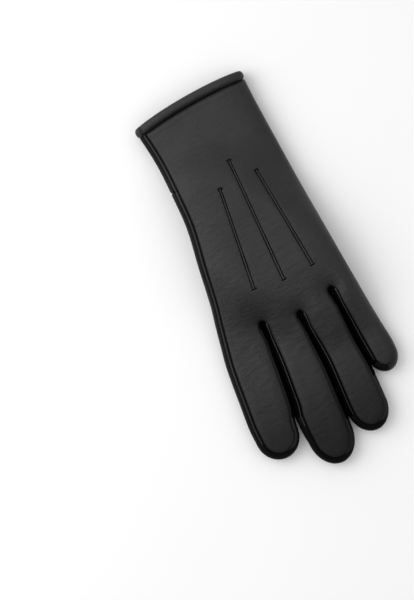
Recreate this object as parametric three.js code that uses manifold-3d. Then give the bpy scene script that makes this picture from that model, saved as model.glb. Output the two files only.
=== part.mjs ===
// A lined leather dress glove for the left hand, lying on its palm with the thumb folded under it.
// The back and the palm are two leather panels. A gusset runs down the index side, and three forks line
// the fingers where they meet. A thumb, a cuff hem and three stitched points on the back complete it.
// Millimetres. +Z is up through the back of the hand, +Y points to the cuff, +X to the little finger.
// The origin is on the surface that the glove lies on, under the middle of its outline.

import * as THREE from "three";
import { mergeVertices } from "three/addons/utils/BufferGeometryUtils.js";
import Module from "manifold-3d";

const wasm = await Module();
wasm.setup();

// Driving dimensions
const HAND_LENGTH = 158; // cuff edge to the line of the finger crotches
const PALM_WIDTH = 98.7; // across all four fingers at that line
const MIDDLE_LENGTH = 104; // middle finger, from that line
const FINGER_THICKNESS = 13.2; // a finger lying flat, over both panels
const HAND_THICKNESS = 18; // the hand lying flat, without the thumb
const CUFF_THICKNESS = 17; // the cuff lying flat, open
const FINGER_ROUND = 12; // how far in from a finger's edge its back is level
const LITTLE_ROUND = 9.2; // the same for the little finger
const LITTLE_BLEND = 5; // how far either side of its slit the two run into each other
const KNUCKLE_BELOW = 18; // from the crotch line towards the tips, where a finger has its own thickness
const KNUCKLE_ABOVE = 30; // towards the cuff, where the hand has
const HAND_ROUND = 26; // the same for the hand
const PALM_ROUND = 0.7; // share of these on the palm, which is flatter where it lies
const ROUNDNESS = 2.4; // power of the rounded side: 2 is an ellipse
const WALL = 2.2; // leather with its lining
const SEAM_GAP = 0.4; // between two sewn pieces
const PIECE_GAP = 0.35; // between a piece and one that lies on it
const RIM_INDEX_SIDE = 4.4; // seam in from the outline, on each finger's index side
const RIM_LITTLE_SIDE = 2.6; // the same on its little-finger side
const RIM_TIP = 4; // the same round a fingertip
const RIM_CROTCH = 1.1; // the same above a crotch
const RIM_RUN = 42; // how far from the crotch the rim reaches its full width
const SLIT = 0.8; // between two fingers that lie side by side
const CROTCH_RADIUS = 1.3; // round end of each slit
const EDGE_BLEND = 12; // how far about the crotch line the outer edges run from finger to hand
const SLIT_NARROWS = 14; // how far from the crotch the slit is down to its width
const HEM_WIDTH = 6.2; // rolled cuff hem, along the glove
const HEM_PROUD = 0.8; // hem out from the leather
const CUFF_DROP = 2.8; // how much the cuff edge curves down beside its crest
const CUFF_CREST = 0.55; // where the crest lies, as a share of half the cuff's width
const NOTCH = 0.65; // where the index gusset ends, as a share of the hand's length
const ELASTIC = 0.745; // where the wrist elastic gathers the palm, as a share of the hand's length
const PLEATS = 8; // gathers across the palm at the elastic
const PLEAT_DEPTH = 1.7;
const PLEAT_REACH = 11; // along the glove, from the elastic
const DENT_DEPTH = 1.6; // long dents in the palm beside the thumb
const DENT_WIDTH = 5;
const WRIST_PINCH = 1.6; // how far the elastic draws the palm up
const POINT_WIDTH = 1.9; // a stitched point on the back
const POINT_HEIGHT = 1;
const TACK_WIDTH = 3.6; // bar tack across each end of a point
const TACK_LENGTH = 1.1;
const THUMB_LENGTH = 84;
const THUMB_WIDTH = 45; // at its base
const THUMB_TIP_WIDTH = 27;
const THUMB_THICKNESS = 10.4;
const THUMB_PRESS = 0.8; // how much of that is pressed flat where it lies on the surface
const THUMB_LEAN = 41; // degrees from the fingers' direction towards the little finger
const THUMB_SLANT = 18; // degrees that its base seam leans out of square
const THUMB_HOLE = 32; // opening in the palm, along the thumb
const THUMB_BEND = 1; // inner radius of the fold at its base
const DRAPE = 42; // how far the leather takes to come down beside the thumb
const BRIDGE = 5; // how far beside the thumb the leather is still held at its full height

// Each finger: its length as a share of the middle finger's, its width as a share of the palm's, the
// share of its length at which the round tip starts, and its two edges as shares of its width from its
// middle. The slits trim the edges.
const FINGERS = [
  {
    name: "index",
    lengthShare: 0.827,
    widthShare: 0.311,
    tip: 0.815,
    edges: [
      { along: 0, left: -0.5, right: 0.53 },
      { along: 0.16, left: -0.58, right: 0.52 },
      { along: 0.29, left: -0.62, right: 0.5 },
      { along: 0.48, left: -0.662, right: 0.45 },
      { along: 0.68, left: -0.705, right: 0.37 },
      { along: 0.75, left: -0.703, right: 0.285 },
      { along: 0.815, left: -0.695, right: 0.256 },
    ],
  },
  {
    name: "middle",
    lengthShare: 1,
    widthShare: 0.2523,
    tip: 0.81,
    edges: [
      { along: 0, left: -0.53, right: 0.53 },
      { along: 0.15, left: -0.54, right: 0.55 },
      { along: 0.36, left: -0.6, right: 0.6 },
      { along: 0.53, left: -0.68, right: 0.59 },
      { along: 0.63, left: -0.745, right: 0.58 },
      { along: 0.73, left: -0.742, right: 0.545 },
      { along: 0.81, left: -0.709, right: 0.512 },
    ],
  },
  {
    name: "ring",
    lengthShare: 0.906,
    widthShare: 0.2563,
    tip: 0.82,
    edges: [
      { along: 0, left: -0.53, right: 0.53 },
      { along: 0.15, left: -0.5, right: 0.555 },
      { along: 0.4, left: -0.445, right: 0.61 },
      { along: 0.57, left: -0.445, right: 0.64 },
      { along: 0.7, left: -0.45, right: 0.634 },
      { along: 0.82, left: -0.448, right: 0.627 },
    ],
  },
  {
    name: "little",
    lengthShare: 0.6,
    widthShare: 0.1804,
    tip: 0.809,
    edges: [
      { along: 0, left: -0.53, right: 0.5 },
      { along: 0.15, left: -0.49, right: 0.55 },
      { along: 0.5, left: -0.425, right: 0.7 },
      { along: 0.7, left: -0.365, right: 0.79 },
      { along: 0.809, left: -0.33, right: 0.798 },
    ],
  },
];

// Each slit: its crotch beyond the crotch line as a share of the hand's length, and its drift sideways
// as a share of the palm's width, along the shorter of the two fingers.
const SLITS = [
  {
    crotch: 0.011,
    drift: [
      { along: 0, across: 0 },
      { along: 0.16, across: -0.004 },
      { along: 0.42, across: -0.02 },
      { along: 0.65, across: -0.041 },
      { along: 0.75, across: -0.063 },
    ],
  },
  {
    crotch: -0.015,
    drift: [
      { along: 0, across: 0 },
      { along: 0.18, across: 0.008 },
      { along: 0.41, across: 0.021 },
      { along: 0.58, across: 0.018 },
      { along: 0.81, across: 0.01 },
    ],
  },
  {
    crotch: 0.023,
    drift: [
      { along: 0, across: 0 },
      { along: 0.17, across: 0.008 },
      { along: 0.47, across: 0.017 },
      { along: 0.69, across: 0.028 },
      { along: 0.86, across: 0.0355 },
    ],
  },
];

// The hand's two edges, from the crotch line to the cuff, as shares of the palm's width from its middle.
const HAND_EDGES = [
  { along: 0, left: -0.5, right: 0.5 },
  { along: 0.08, left: -0.476, right: 0.487 },
  { along: 0.16, left: -0.45, right: 0.476 },
  { along: 0.32, left: -0.416, right: 0.456 },
  { along: 0.49, left: -0.376, right: 0.436 },
  { along: 0.62, left: -0.372, right: 0.423 },
  { along: 0.77, left: -0.376, right: 0.407 },
  { along: 0.88, left: -0.396, right: 0.397 },
  { along: 1, left: -0.43, right: 0.392 },
];

// The three points on the back, as shares of the palm's width and the hand's length.
const POINTS = [
  { name: "index", topAcross: -0.068, topAlong: 0.584, across: -0.143, along: 0.149 },
  { name: "middle", topAcross: 0.066, topAlong: 0.677, across: 0.062, along: 0.134 },
  { name: "ring", topAcross: 0.202, topAlong: 0.593, across: 0.274, along: 0.139 },
];

// Two long dents in the palm beside the thumb's base: their ends in the same shares, and their depth and
// width as shares of the named ones.
const DENTS = [
  { topAcross: 0.03, topAlong: 0.68, across: 0.27, along: 0.33, depth: 1, width: 1 },
  { topAcross: 0.13, topAlong: 0.7, across: 0.36, along: 0.36, depth: 0.875, width: 1.2 },
];

// The thumb's place: the middle of its base seam, in the same shares.
const THUMB_PLACE = { across: -0.178, along: 0.435 };

// Mesh fineness
const BACK_COLUMNS = 4; // across each finger, on the back
const PALM_COLUMNS = 6; // the same on the palm, where the gathers are
const SIDE_STEPS = 3; // round the side, from seam to seam
const ARC_STEPS = 3; // along each side of a round tip, up to 45 degrees
const FINGER_SHARES = [0.06, 0.16, 0.3, 0.46, 0.62, 0.76, 0.88, 1];
const THUMB_SIDES = 16;

// Helpers on numbers and tables
const lerp = (a, b, t) => a + (b - a) * t;
const clamp = (x, low, high) => Math.min(high, Math.max(low, x));
const radians = (degrees) => (degrees * Math.PI) / 180;

function smoothstep(low, high, x) {
  const t = clamp((x - low) / (high - low), 0, 1);
  return t * t * (3 - 2 * t);
}

// A smooth curve through a table's rows. Beyond its ends it goes straight on, or stays where it is held.
function follow(rows, column, at, held = false) {
  const last = rows.length - 1;
  const slope = (i, j) => (rows[j][column] - rows[i][column]) / (rows[j].along - rows[i].along);
  if (at <= rows[0].along) {
    return rows[0][column] + (held ? 0 : slope(0, 1) * (at - rows[0].along));
  }
  if (at >= rows[last].along) {
    return rows[last][column] + (held ? 0 : slope(last - 1, last) * (at - rows[last].along));
  }
  const i = rows.findIndex((row) => row.along > at) - 1;
  const span = rows[i + 1].along - rows[i].along;
  const t = (at - rows[i].along) / span;
  const leaving = slope(Math.max(i - 1, 0), i + 1) * span;
  const arriving = slope(i, Math.min(i + 2, last)) * span;
  return (
    rows[i][column] * (2 * t ** 3 - 3 * t ** 2 + 1) +
    leaving * (t ** 3 - 2 * t ** 2 + t) +
    rows[i + 1][column] * (3 * t ** 2 - 2 * t ** 3) +
    arriving * (t ** 3 - t ** 2)
  );
}

// Plan outline. x runs across the palm from its middle, y from the crotch line towards the cuff.
let edge = -PALM_WIDTH / 2;
for (const finger of FINGERS) {
  finger.length = finger.lengthShare * MIDDLE_LENGTH;
  finger.width = finger.widthShare * PALM_WIDTH;
  finger.middle = edge + finger.width / 2;
  edge += finger.width;
}
SLITS.forEach((slit, i) => {
  slit.base = FINGERS[i].middle + FINGERS[i].width / 2;
  slit.reach = Math.min(FINGERS[i].length, FINGERS[i + 1].length);
  slit.top = slit.crotch * HAND_LENGTH;
});

const slitMiddle = (slit, y) =>
  slit.base + PALM_WIDTH * follow(slit.drift, "across", -y / slit.reach, true);

function slitHalf(slit, y) {
  const below = slit.top - y;
  return lerp(CROTCH_RADIUS, SLIT / 2, smoothstep(CROTCH_RADIUS, SLIT_NARROWS, below));
}

const handEdge = (side, y) => PALM_WIDTH * follow(HAND_EDGES, side, y / HAND_LENGTH);

// Edge of finger i at y, on its left (index) or right (little) side.
function fingerEdge(i, side, y) {
  const finger = FINGERS[i];
  const own = finger.middle + finger.width * follow(finger.edges, side, -y / finger.length);
  const slit = SLITS[side === "left" ? i - 1 : i];
  if (!slit) {
    return lerp(own, handEdge(side, y), smoothstep(-EDGE_BLEND, EDGE_BLEND, y));
  }
  const middle = slitMiddle(slit, y);
  const half = slitHalf(slit, y);
  return side === "left" ? Math.max(own, middle + half) : Math.min(own, middle - half);
}

const cuffEdge = (x) => {
  const half = (handEdge("right", HAND_LENGTH) - handEdge("left", HAND_LENGTH)) / 2;
  return HAND_LENGTH - CUFF_DROP * (x / half - CUFF_CREST) ** 2;
};
const leatherEnd = (x) => cuffEdge(x) - HEM_WIDTH - PIECE_GAP;

// A station is a point of the outline with its outward normal in plan and the rim's width there.
const station = (x, y, nx, ny, rim) => {
  const length = Math.hypot(nx, ny);
  return { x, y, nx: nx / length, ny: ny / length, rim };
};

function edgeStation(edgeAt, side, y, rim) {
  const step = 0.5;
  const slope = (edgeAt(y + step) - edgeAt(y - step)) / (2 * step);
  return side === "left"
    ? station(edgeAt(y), y, -1, slope, rim)
    : station(edgeAt(y), y, 1, -slope, rim);
}

const sideRim = (side) => (side === "left" ? RIM_INDEX_SIDE : RIM_LITTLE_SIDE);

// Stations down one side of finger i: from its crotch, or from the crotch line on the two outer sides,
// round the tip as far as the given angle. 90 degrees is the tip's end.
function fingerStations(i, side, toAngle, arcSteps, shares) {
  const finger = FINGERS[i];
  const slit = SLITS[side === "left" ? i - 1 : i];
  const outward = side === "left" ? -1 : 1;
  const rimAt = (y) =>
    slit
      ? lerp(RIM_CROTCH, sideRim(side), smoothstep(0, RIM_RUN, slit.top - y))
      : sideRim(side);
  const list = [];
  let top;
  if (slit) {
    const x = slitMiddle(slit, slit.top);
    list.push(station(x, slit.top, 0, -1, RIM_CROTCH));
    for (const turn of [45, 90]) {
      const away = radians(turn);
      list.push(
        station(
          x + outward * -CROTCH_RADIUS * Math.sin(away),
          slit.top - CROTCH_RADIUS * (1 - Math.cos(away)),
          outward * Math.sin(away),
          -Math.cos(away),
          RIM_CROTCH,
        ),
      );
    }
    top = slit.top - CROTCH_RADIUS;
  } else {
    const inner = SLITS[side === "left" ? 0 : SLITS.length - 1];
    top = inner.top;
    for (const share of [0, 0.33, 0.67]) {
      const y = inner.top - share * 2 * CROTCH_RADIUS;
      list.push(edgeStation((at) => fingerEdge(i, side, at), side, y, rimAt(y)));
      top = y;
    }
  }
  const tipY = -finger.tip * finger.length;
  for (const share of shares) {
    const y = lerp(top, tipY, share);
    list.push(edgeStation((at) => fingerEdge(i, side, at), side, y, rimAt(y)));
  }
  for (let k = 1; k <= arcSteps; k++) {
    list.push(tipStation(i, side, (toAngle * k) / arcSteps));
  }
  return list;
}

// A station on the round tip of finger i, at an angle down from the given side.
function tipStation(i, side, angle) {
  const finger = FINGERS[i];
  const y = -finger.tip * finger.length;
  const left = fingerEdge(i, "left", y);
  const right = fingerEdge(i, "right", y);
  const half = (right - left) / 2;
  const reach = finger.length * (1 - finger.tip);
  const outward = side === "left" ? -1 : 1;
  const c = Math.cos(radians(angle));
  const s = Math.sin(radians(angle));
  return station(
    (left + right) / 2 + outward * half * c,
    y - reach * s,
    (outward * c) / half,
    -s / reach,
    lerp(sideRim(side), RIM_TIP, s ** 2),
  );
}

// The arc from 45 degrees on the left of a tip to 45 degrees on its right.
function tipRow(i, columns) {
  const list = [];
  for (let k = 0; k <= columns; k++) {
    const angle = 45 + (90 * k) / columns;
    list.push(angle <= 90 ? tipStation(i, "left", angle) : tipStation(i, "right", 180 - angle));
  }
  return list;
}

// Stations up one side of the hand, from the crotch line to the hem.
function handStations(side) {
  const inner = SLITS[side === "left" ? 0 : SLITS.length - 1].top;
  const end = leatherEnd(handEdge(side, HAND_LENGTH - HEM_WIDTH));
  const notch = NOTCH * HAND_LENGTH;
  const elastic = ELASTIC * HAND_LENGTH;
  const stops = [inner, notch - SEAM_GAP / 2, notch + SEAM_GAP / 2, elastic, end];
  const steps = [7, 1, 3, 4];
  const edgeAt = (y) => (y < EDGE_BLEND ? fingerEdge(side === "left" ? 0 : 3, side, y) : handEdge(side, y));
  const ys = [inner];
  steps.forEach((count, part) => {
    for (let k = 1; k <= count; k++) {
      ys.push(lerp(stops[part], stops[part + 1], k / count));
    }
  });
  return ys.map((y) => edgeStation(edgeAt, side, y, sideRim(side)));
}

// The whole outline as a fine open line, from beyond the cuff on the left round to beyond it on the right.
const OUTLINE = [];
{
  const fine = Array.from({ length: 24 }, (_, k) => (k + 1) / 24);
  const push = (list) => list.forEach((s) => OUTLINE.push([s.x, s.y]));
  const left = handStations("left");
  const right = handStations("right");
  const beyond = HAND_LENGTH + HAND_ROUND;
  OUTLINE.push([handEdge("left", beyond), beyond]);
  push(left.reverse());
  FINGERS.forEach((finger, i) => {
    push(fingerStations(i, "left", 90, 12, fine));
    push(fingerStations(i, "right", 90, 12, fine).reverse().slice(1));
  });
  push(right);
  OUTLINE.push([handEdge("right", beyond), beyond]);
}

// Distance in from the outline, and the direction in which it grows.
function depthAt(x, y) {
  let best = Infinity;
  let bx = 0;
  let by = 0;
  for (let i = 1; i < OUTLINE.length; i++) {
    const [ax, ay] = OUTLINE[i - 1];
    const ex = OUTLINE[i][0] - ax;
    const ey = OUTLINE[i][1] - ay;
    const t = clamp(((x - ax) * ex + (y - ay) * ey) / (ex * ex + ey * ey || 1), 0, 1);
    const dx = x - ax - ex * t;
    const dy = y - ay - ey * t;
    const square = dx * dx + dy * dy;
    if (square < best) {
      best = square;
      bx = dx;
      by = dy;
    }
  }
  const depth = Math.sqrt(best);
  return { depth, gx: bx / (depth || 1), gy: by / (depth || 1) };
}

// Half thickness and side rounding at a distance from the crotch line
const fingerShare = (y) => 1 - smoothstep(-KNUCKLE_BELOW, KNUCKLE_ABOVE, y);
const cuffShare = (y) => smoothstep(0.66 * HAND_LENGTH, HAND_LENGTH, y);
const halfAt = (y) =>
  lerp(
    lerp(HAND_THICKNESS, CUFF_THICKNESS, cuffShare(y)),
    FINGER_THICKNESS,
    fingerShare(y),
  ) / 2;

// The rounding's reach at a plan point, on the back (+1) or the palm (-1)
function roundAt(x, y, face) {
  const last = SLITS[SLITS.length - 1].base;
  const finger = lerp(FINGER_ROUND, LITTLE_ROUND, smoothstep(last - LITTLE_BLEND, last + LITTLE_BLEND, x));
  return lerp(HAND_ROUND, finger, fingerShare(y)) * (face > 0 ? 1 : PALM_ROUND);
}

// Height over the middle plane and surface normal, at a depth in from the outline.
function rise(depth, half, round) {
  const inward = clamp(1 - depth / round, 0, 1);
  const share = (1 - inward ** ROUNDNESS) ** (1 / ROUNDNESS);
  const side = inward ** (ROUNDNESS - 1) / round;
  const up = share ** (ROUNDNESS - 1) / half;
  const length = Math.hypot(side, up);
  return { z: half * share, side: side / length, up: up / length };
}

// Where the wrist elastic gathers the palm and the folds dent it, the leather is drawn up by this much.
function drawnUp(x, y) {
  const left = handEdge("left", y) + RIM_INDEX_SIDE;
  const right = handEdge("right", y) - RIM_LITTLE_SIDE;
  const share = clamp((x - left) / (right - left), 0, 1);
  const inside = smoothstep(0, 0.12, share) * smoothstep(0, 0.12, 1 - share);
  const away = (y - ELASTIC * HAND_LENGTH) / PLEAT_REACH;
  const near = Math.exp(-away * away);
  const pleat = 0.5 - 0.5 * Math.cos(2 * Math.PI * PLEATS * share);
  let up = near * inside * (WRIST_PINCH + PLEAT_DEPTH * pleat);
  for (const dent of DENTS) {
    const ax = dent.topAcross * PALM_WIDTH;
    const ay = dent.topAlong * HAND_LENGTH;
    const ex = dent.across * PALM_WIDTH - ax;
    const ey = dent.along * HAND_LENGTH - ay;
    const t = ((x - ax) * ex + (y - ay) * ey) / (ex * ex + ey * ey);
    const off = Math.abs((x - ax) * ey - (y - ay) * ex) / Math.hypot(ex, ey);
    const fade = smoothstep(0, 0.25, t) * smoothstep(0, 0.3, 1 - t);
    const narrow = 1 - smoothstep(0, (dent.width * DENT_WIDTH) / 2, off);
    up += dent.depth * DENT_DEPTH * fade * narrow * inside;
  }
  return up;
}

// The thumb's own directions in plan: along it, square across it, and along its base seam.
const THUMB_ALONG = [Math.sin(radians(THUMB_LEAN)), -Math.cos(radians(THUMB_LEAN))];
const THUMB_ACROSS = [-THUMB_ALONG[1], THUMB_ALONG[0]];
const THUMB_SEAM = [
  THUMB_ACROSS[0] * Math.cos(radians(THUMB_SLANT)) - THUMB_ALONG[0] * Math.sin(radians(THUMB_SLANT)),
  THUMB_ACROSS[1] * Math.cos(radians(THUMB_SLANT)) - THUMB_ALONG[1] * Math.sin(radians(THUMB_SLANT)),
];
const THUMB_BASE = [THUMB_PLACE.across * PALM_WIDTH, THUMB_PLACE.along * HAND_LENGTH];
const THUMB_TOP = THUMB_THICKNESS + THUMB_BEND;
const LIFT = THUMB_TOP - THUMB_PRESS + PIECE_GAP;
const THUMB_TIP_START = THUMB_LENGTH - THUMB_TIP_WIDTH / 2;
const thumbWidth = (a) => lerp(THUMB_WIDTH, THUMB_TIP_WIDTH, clamp(a / THUMB_TIP_START, 0, 1));

// How far the thumb under it lifts the glove: fully over the thumb, and less and less beside it.
function liftAt(x, y) {
  const dx = x - THUMB_BASE[0];
  const dy = y - THUMB_BASE[1];
  const a = clamp(dx * THUMB_ALONG[0] + dy * THUMB_ALONG[1], 0, THUMB_TIP_START);
  const away = Math.hypot(dx - a * THUMB_ALONG[0], dy - a * THUMB_ALONG[1]) - thumbWidth(a) / 2;
  return LIFT * (1 - smoothstep(BRIDGE, DRAPE, away));
}

// Places a point of the flat glove where it lies, with its underside on the surface or on the thumb.
const draped = ([x, y, z]) => [x, y, z + halfAt(Math.min(y, HAND_LENGTH)) + liftAt(x, y)];

// A sheet of leather: outer points with their normals, welded where patches share them.
class Sheet {
  constructor() {
    this.points = [];
    this.normals = [];
    this.faces = [];
    this.known = new Map();
  }

  vertex(point, normal) {
    const key = point.map((v) => Math.round(v * 500)).join(" ");
    if (!this.known.has(key)) {
      this.known.set(key, this.points.length);
      this.points.push(point);
      this.normals.push(normal);
    }
    return this.known.get(key);
  }

  // Adds a grid of vertex numbers as faces that look the way their normals do.
  grid(rows) {
    for (let r = 1; r < rows.length; r++) {
      for (let c = 1; c < rows[r].length; c++) {
        const quad = [rows[r - 1][c - 1], rows[r - 1][c], rows[r][c], rows[r][c - 1]];
        this.face([quad[0], quad[1], quad[2]]);
        this.face([quad[0], quad[2], quad[3]]);
      }
    }
  }

  face(corners) {
    if (new Set(corners).size < 3) {
      return;
    }
    const [a, b, c] = corners.map((i) => new THREE.Vector3(...this.points[i]));
    const across = b.sub(a).cross(c.sub(a));
    const facing = new THREE.Vector3();
    corners.forEach((i) => facing.add(new THREE.Vector3(...this.normals[i])));
    this.faces.push(across.dot(facing) < 0 ? [corners[0], corners[2], corners[1]] : corners);
  }

  solid(wall, place) {
    const inner = this.points.map((p, i) => p.map((v, k) => v - wall * this.normals[i][k]));
    return shellOf(this.points.map(place), inner.map(place), this.faces);
  }
}

// The closed solid between an outer skin and an inner one, with a strip along every free edge.
function shellOf(outer, inner, skin) {
  const count = outer.length;
  const faces = [];
  const edges = new Map();
  for (const [a, b, c] of skin) {
    faces.push([a, b, c], [a + count, c + count, b + count]);
    for (const [from, to] of [[a, b], [b, c], [c, a]]) {
      if (!edges.delete(`${to} ${from}`)) {
        edges.set(`${from} ${to}`, [from, to]);
      }
    }
  }
  for (const [from, to] of edges.values()) {
    faces.push([to, from, from + count], [to, from + count, to + count]);
  }
  return geometryOf([...outer, ...inner], faces);
}

function geometryOf(points, faces) {
  const geometry = new THREE.BufferGeometry();
  geometry.setAttribute("position", new THREE.Float32BufferAttribute(points.flat(), 3));
  geometry.setIndex(faces.flat());
  return geometry;
}

// Vertex of a panel at a plan point, on the back (+1) or the palm (-1).
function panelVertex(sheet, x, y, face) {
  const { depth, gx, gy } = depthAt(x, y);
  const { z, side, up } = rise(depth, halfAt(y), roundAt(x, y, face));
  return sheet.vertex([x, y, face * z], [-gx * side, -gy * side, face * up]);
}

// Vertex on the side of the glove, at a station and a signed share of the way from the outline to the
// seam: positive towards the back, negative towards the palm.
function sideVertex(sheet, s, turn, rim) {
  const half = halfAt(s.y);
  const round = roundAt(s.x, s.y, Math.sign(turn));
  const steep = Math.sin((Math.abs(turn) * Math.PI) / 2) ** 2;
  const depth = Math.abs(turn) < 1 ? rim * steep : rim;
  const { z, side, up } = rise(depth, half, round);
  const face = Math.sign(turn);
  const point = [s.x - s.nx * depth, s.y - s.ny * depth, face * z];
  return sheet.vertex(point, [s.nx * side, s.ny * side, face * up]);
}

// The seam's plan point at a station, half the seam's gap further in or out.
const seamPoint = (s, into) => [s.x - s.nx * (s.rim + into), s.y - s.ny * (s.rim + into)];

// Plan points inside four edges that meet at their ends, blended from all of them.
function blended(first, last, left, right) {
  const rows = left.length - 1;
  const columns = first.length - 1;
  return left.map((_, r) =>
    first.map((_, c) =>
      [0, 1].map((k) => {
        const v = r / rows;
        const u = c / columns;
        const ruled =
          lerp(first[c][k], last[c][k], v) + lerp(left[r][k], right[r][k], u);
        const corners = lerp(
          lerp(first[0][k], first[columns][k], u),
          lerp(last[0][k], last[columns][k], u),
          v,
        );
        return ruled - corners;
      }),
    ),
  );
}

// A panel over the hand and all four fingers, as wide as its seams.
function panel(face, columns) {
  const sheet = new Sheet();
  const into = SEAM_GAP / 2;
  const seam = (list) => list.map((s) => seamPoint(s, into));
  const place = (points) => points.map((row) => row.map(([x, y]) => panelVertex(sheet, x, y, face)));
  const knuckles = [];
  FINGERS.forEach((finger, i) => {
    const left = seam(fingerStations(i, "left", 45, ARC_STEPS, FINGER_SHARES));
    const right = seam(fingerStations(i, "right", 45, ARC_STEPS, FINGER_SHARES));
    const base = Array.from({ length: columns + 1 }, (_, c) =>
      [0, 1].map((k) => lerp(left[0][k], right[0][k], c / columns)),
    );
    sheet.grid(place(blended(base, seam(tipRow(i, columns)), left, right)));
    knuckles.push(...(i ? base.slice(1) : base));
  });
  const left = seam(handStations("left"));
  const right = seam(handStations("right"));
  const cuff = knuckles.map((_, c) => {
    const u = c / (knuckles.length - 1);
    const x = lerp(left.at(-1)[0], right.at(-1)[0], u);
    const ends = lerp(leatherEnd(left.at(-1)[0]), leatherEnd(right.at(-1)[0]), u);
    const missed = lerp(left.at(-1)[1], right.at(-1)[1], u) - ends;
    return [x, leatherEnd(x) + missed];
  });
  sheet.grid(place(blended(knuckles, cuff, left, right)));
  return sheet;
}

// A strip round the side at each station. Rims may differ by the seam's gap at the back and the palm.
function sideStrip(sheet, stations, atBack, atPalm) {
  const rows = stations.map((s) => {
    const row = [];
    for (let k = -SIDE_STEPS; k <= SIDE_STEPS; k++) {
      const share = k / SIDE_STEPS;
      const rim = s.rim + (k > 0 ? atBack : atPalm);
      if (Math.abs(share) === 1) {
        // On the seam itself the panel's own height is used, so that the strip welds to it.
        const [x, y] = seamPoint(s, k > 0 ? atBack : atPalm);
        row.push(panelVertex(sheet, x, y, Math.sign(k)));
      } else {
        row.push(sideVertex(sheet, s, share, rim));
      }
    }
    return row;
  });
  sheet.grid(rows);
}

// Stations from a crotch or the notch to the end of a tip, on one side of a finger.
function stripStations(i, side, stopShort) {
  const finger = FINGERS[i];
  const y = -finger.tip * finger.length;
  const half = (fingerEdge(i, "right", y) - fingerEdge(i, "left", y)) / 2;
  const short = stopShort ? (SEAM_GAP / half) * (180 / Math.PI) : 0;
  const list = fingerStations(i, side, 45, ARC_STEPS, FINGER_SHARES);
  for (let k = 1; k <= 3; k++) {
    list.push(tipStation(i, side, 45 + ((45 - short) * k) / 3));
  }
  return list;
}

function backSheet() {
  const sheet = panel(1, BACK_COLUMNS);
  const little = fingerStations(3, "right", 45, ARC_STEPS, FINGER_SHARES).reverse();
  const end = tipRow(3, BACK_COLUMNS).slice(BACK_COLUMNS / 2);
  const hand = handStations("right").slice(1);
  sideStrip(sheet, [...end, ...little.slice(1), ...hand], SEAM_GAP / 2, -SEAM_GAP / 2);
  return sheet;
}

function palmSheet() {
  const sheet = panel(-1, PALM_COLUMNS);
  const above = handStations("left").filter((s) => s.y > NOTCH * HAND_LENGTH);
  sideStrip(sheet, above, -SEAM_GAP / 2, SEAM_GAP / 2);
  return sheet;
}

function gussetSheet() {
  const sheet = new Sheet();
  const hand = handStations("left").filter((s) => s.y < NOTCH * HAND_LENGTH);
  const stations = [...hand.reverse(), ...stripStations(0, "left", true).slice(1)];
  sideStrip(sheet, stations, -SEAM_GAP / 2, -SEAM_GAP / 2);
  return sheet;
}

function forkSheet(i) {
  const sheet = new Sheet();
  const up = stripStations(i, "right", false).reverse();
  const down = stripStations(i + 1, "left", true);
  sideStrip(sheet, [...up, ...down.slice(1)], -SEAM_GAP / 2, -SEAM_GAP / 2);
  return sheet;
}

// Loops of points lofted into a closed skin. Each loop is a ring, and the run of rings closes on itself.
function ringFaces(rings, count) {
  const faces = [];
  for (let r = 0; r < rings; r++) {
    for (let c = 0; c < count; c++) {
      const next = (c + 1) % count;
      const below = ((r + 1) % rings) * count;
      faces.push([r * count + c, r * count + next, below + next]);
      faces.push([r * count + c, below + next, below + c]);
    }
  }
  return faces;
}

// The hem: a rolled band round the cuff's opening.
function hemGeometry() {
  const y = HAND_LENGTH - HEM_WIDTH;
  const left = handEdge("left", y);
  const right = handEdge("right", y);
  const half = halfAt(y);
  const roundOf = (face) => roundAt(left, y, face);
  const loop = [];
  const quarter = 6;
  const flat = 5;
  const corner = (side, face, k) => {
    const steep = Math.sin((k / quarter) * (Math.PI / 2)) ** 2;
    const round = roundOf(face);
    const { z, side: across, up } = rise(round * steep, half, round);
    const x = side > 0 ? right - round * steep : left + round * steep;
    loop.push({ x, z: face * z, nx: side * across, nz: face * up });
  };
  for (let k = 0; k <= quarter; k++) corner(1, 1, k);
  for (let k = 1; k < flat; k++) {
    const x = lerp(right - roundOf(1), left + roundOf(1), k / flat);
    loop.push({ x, z: half, nx: 0, nz: 1 });
  }
  for (let k = quarter; k > 0; k--) corner(-1, 1, k);
  for (let k = 0; k <= quarter; k++) corner(-1, -1, k);
  for (let k = 1; k < flat; k++) {
    const x = lerp(left + roundOf(-1), right - roundOf(-1), k / flat);
    loop.push({ x, z: -half, nx: 0, nz: -1 });
  }
  for (let k = quarter; k > 0; k--) corner(1, -1, k);
  const profile = [];
  const sides = 10;
  const thick = WALL + HEM_PROUD;
  for (let k = 0; k < sides; k++) {
    const angle = (2 * Math.PI * k) / sides;
    const swell = (v) => Math.sign(v) * Math.abs(v) ** 0.6;
    profile.push({
      out: HEM_PROUD - thick / 2 + (thick / 2) * swell(Math.cos(angle)),
      along: (HEM_WIDTH / 2) * (swell(Math.sin(angle)) - 1),
    });
  }
  const points = loop.flatMap((p) =>
    profile.map((q) =>
      draped([p.x + p.nx * q.out, cuffEdge(p.x) + q.along, p.z + p.nz * q.out]),
    ),
  );
  // The underside is flat where it rests, a hem's bulge pressed level.
  points.forEach((p) => {
    p[2] = Math.max(p[2], 0);
  });
  return geometryOf(points, ringFaces(loop.length, sides));
}

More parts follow.
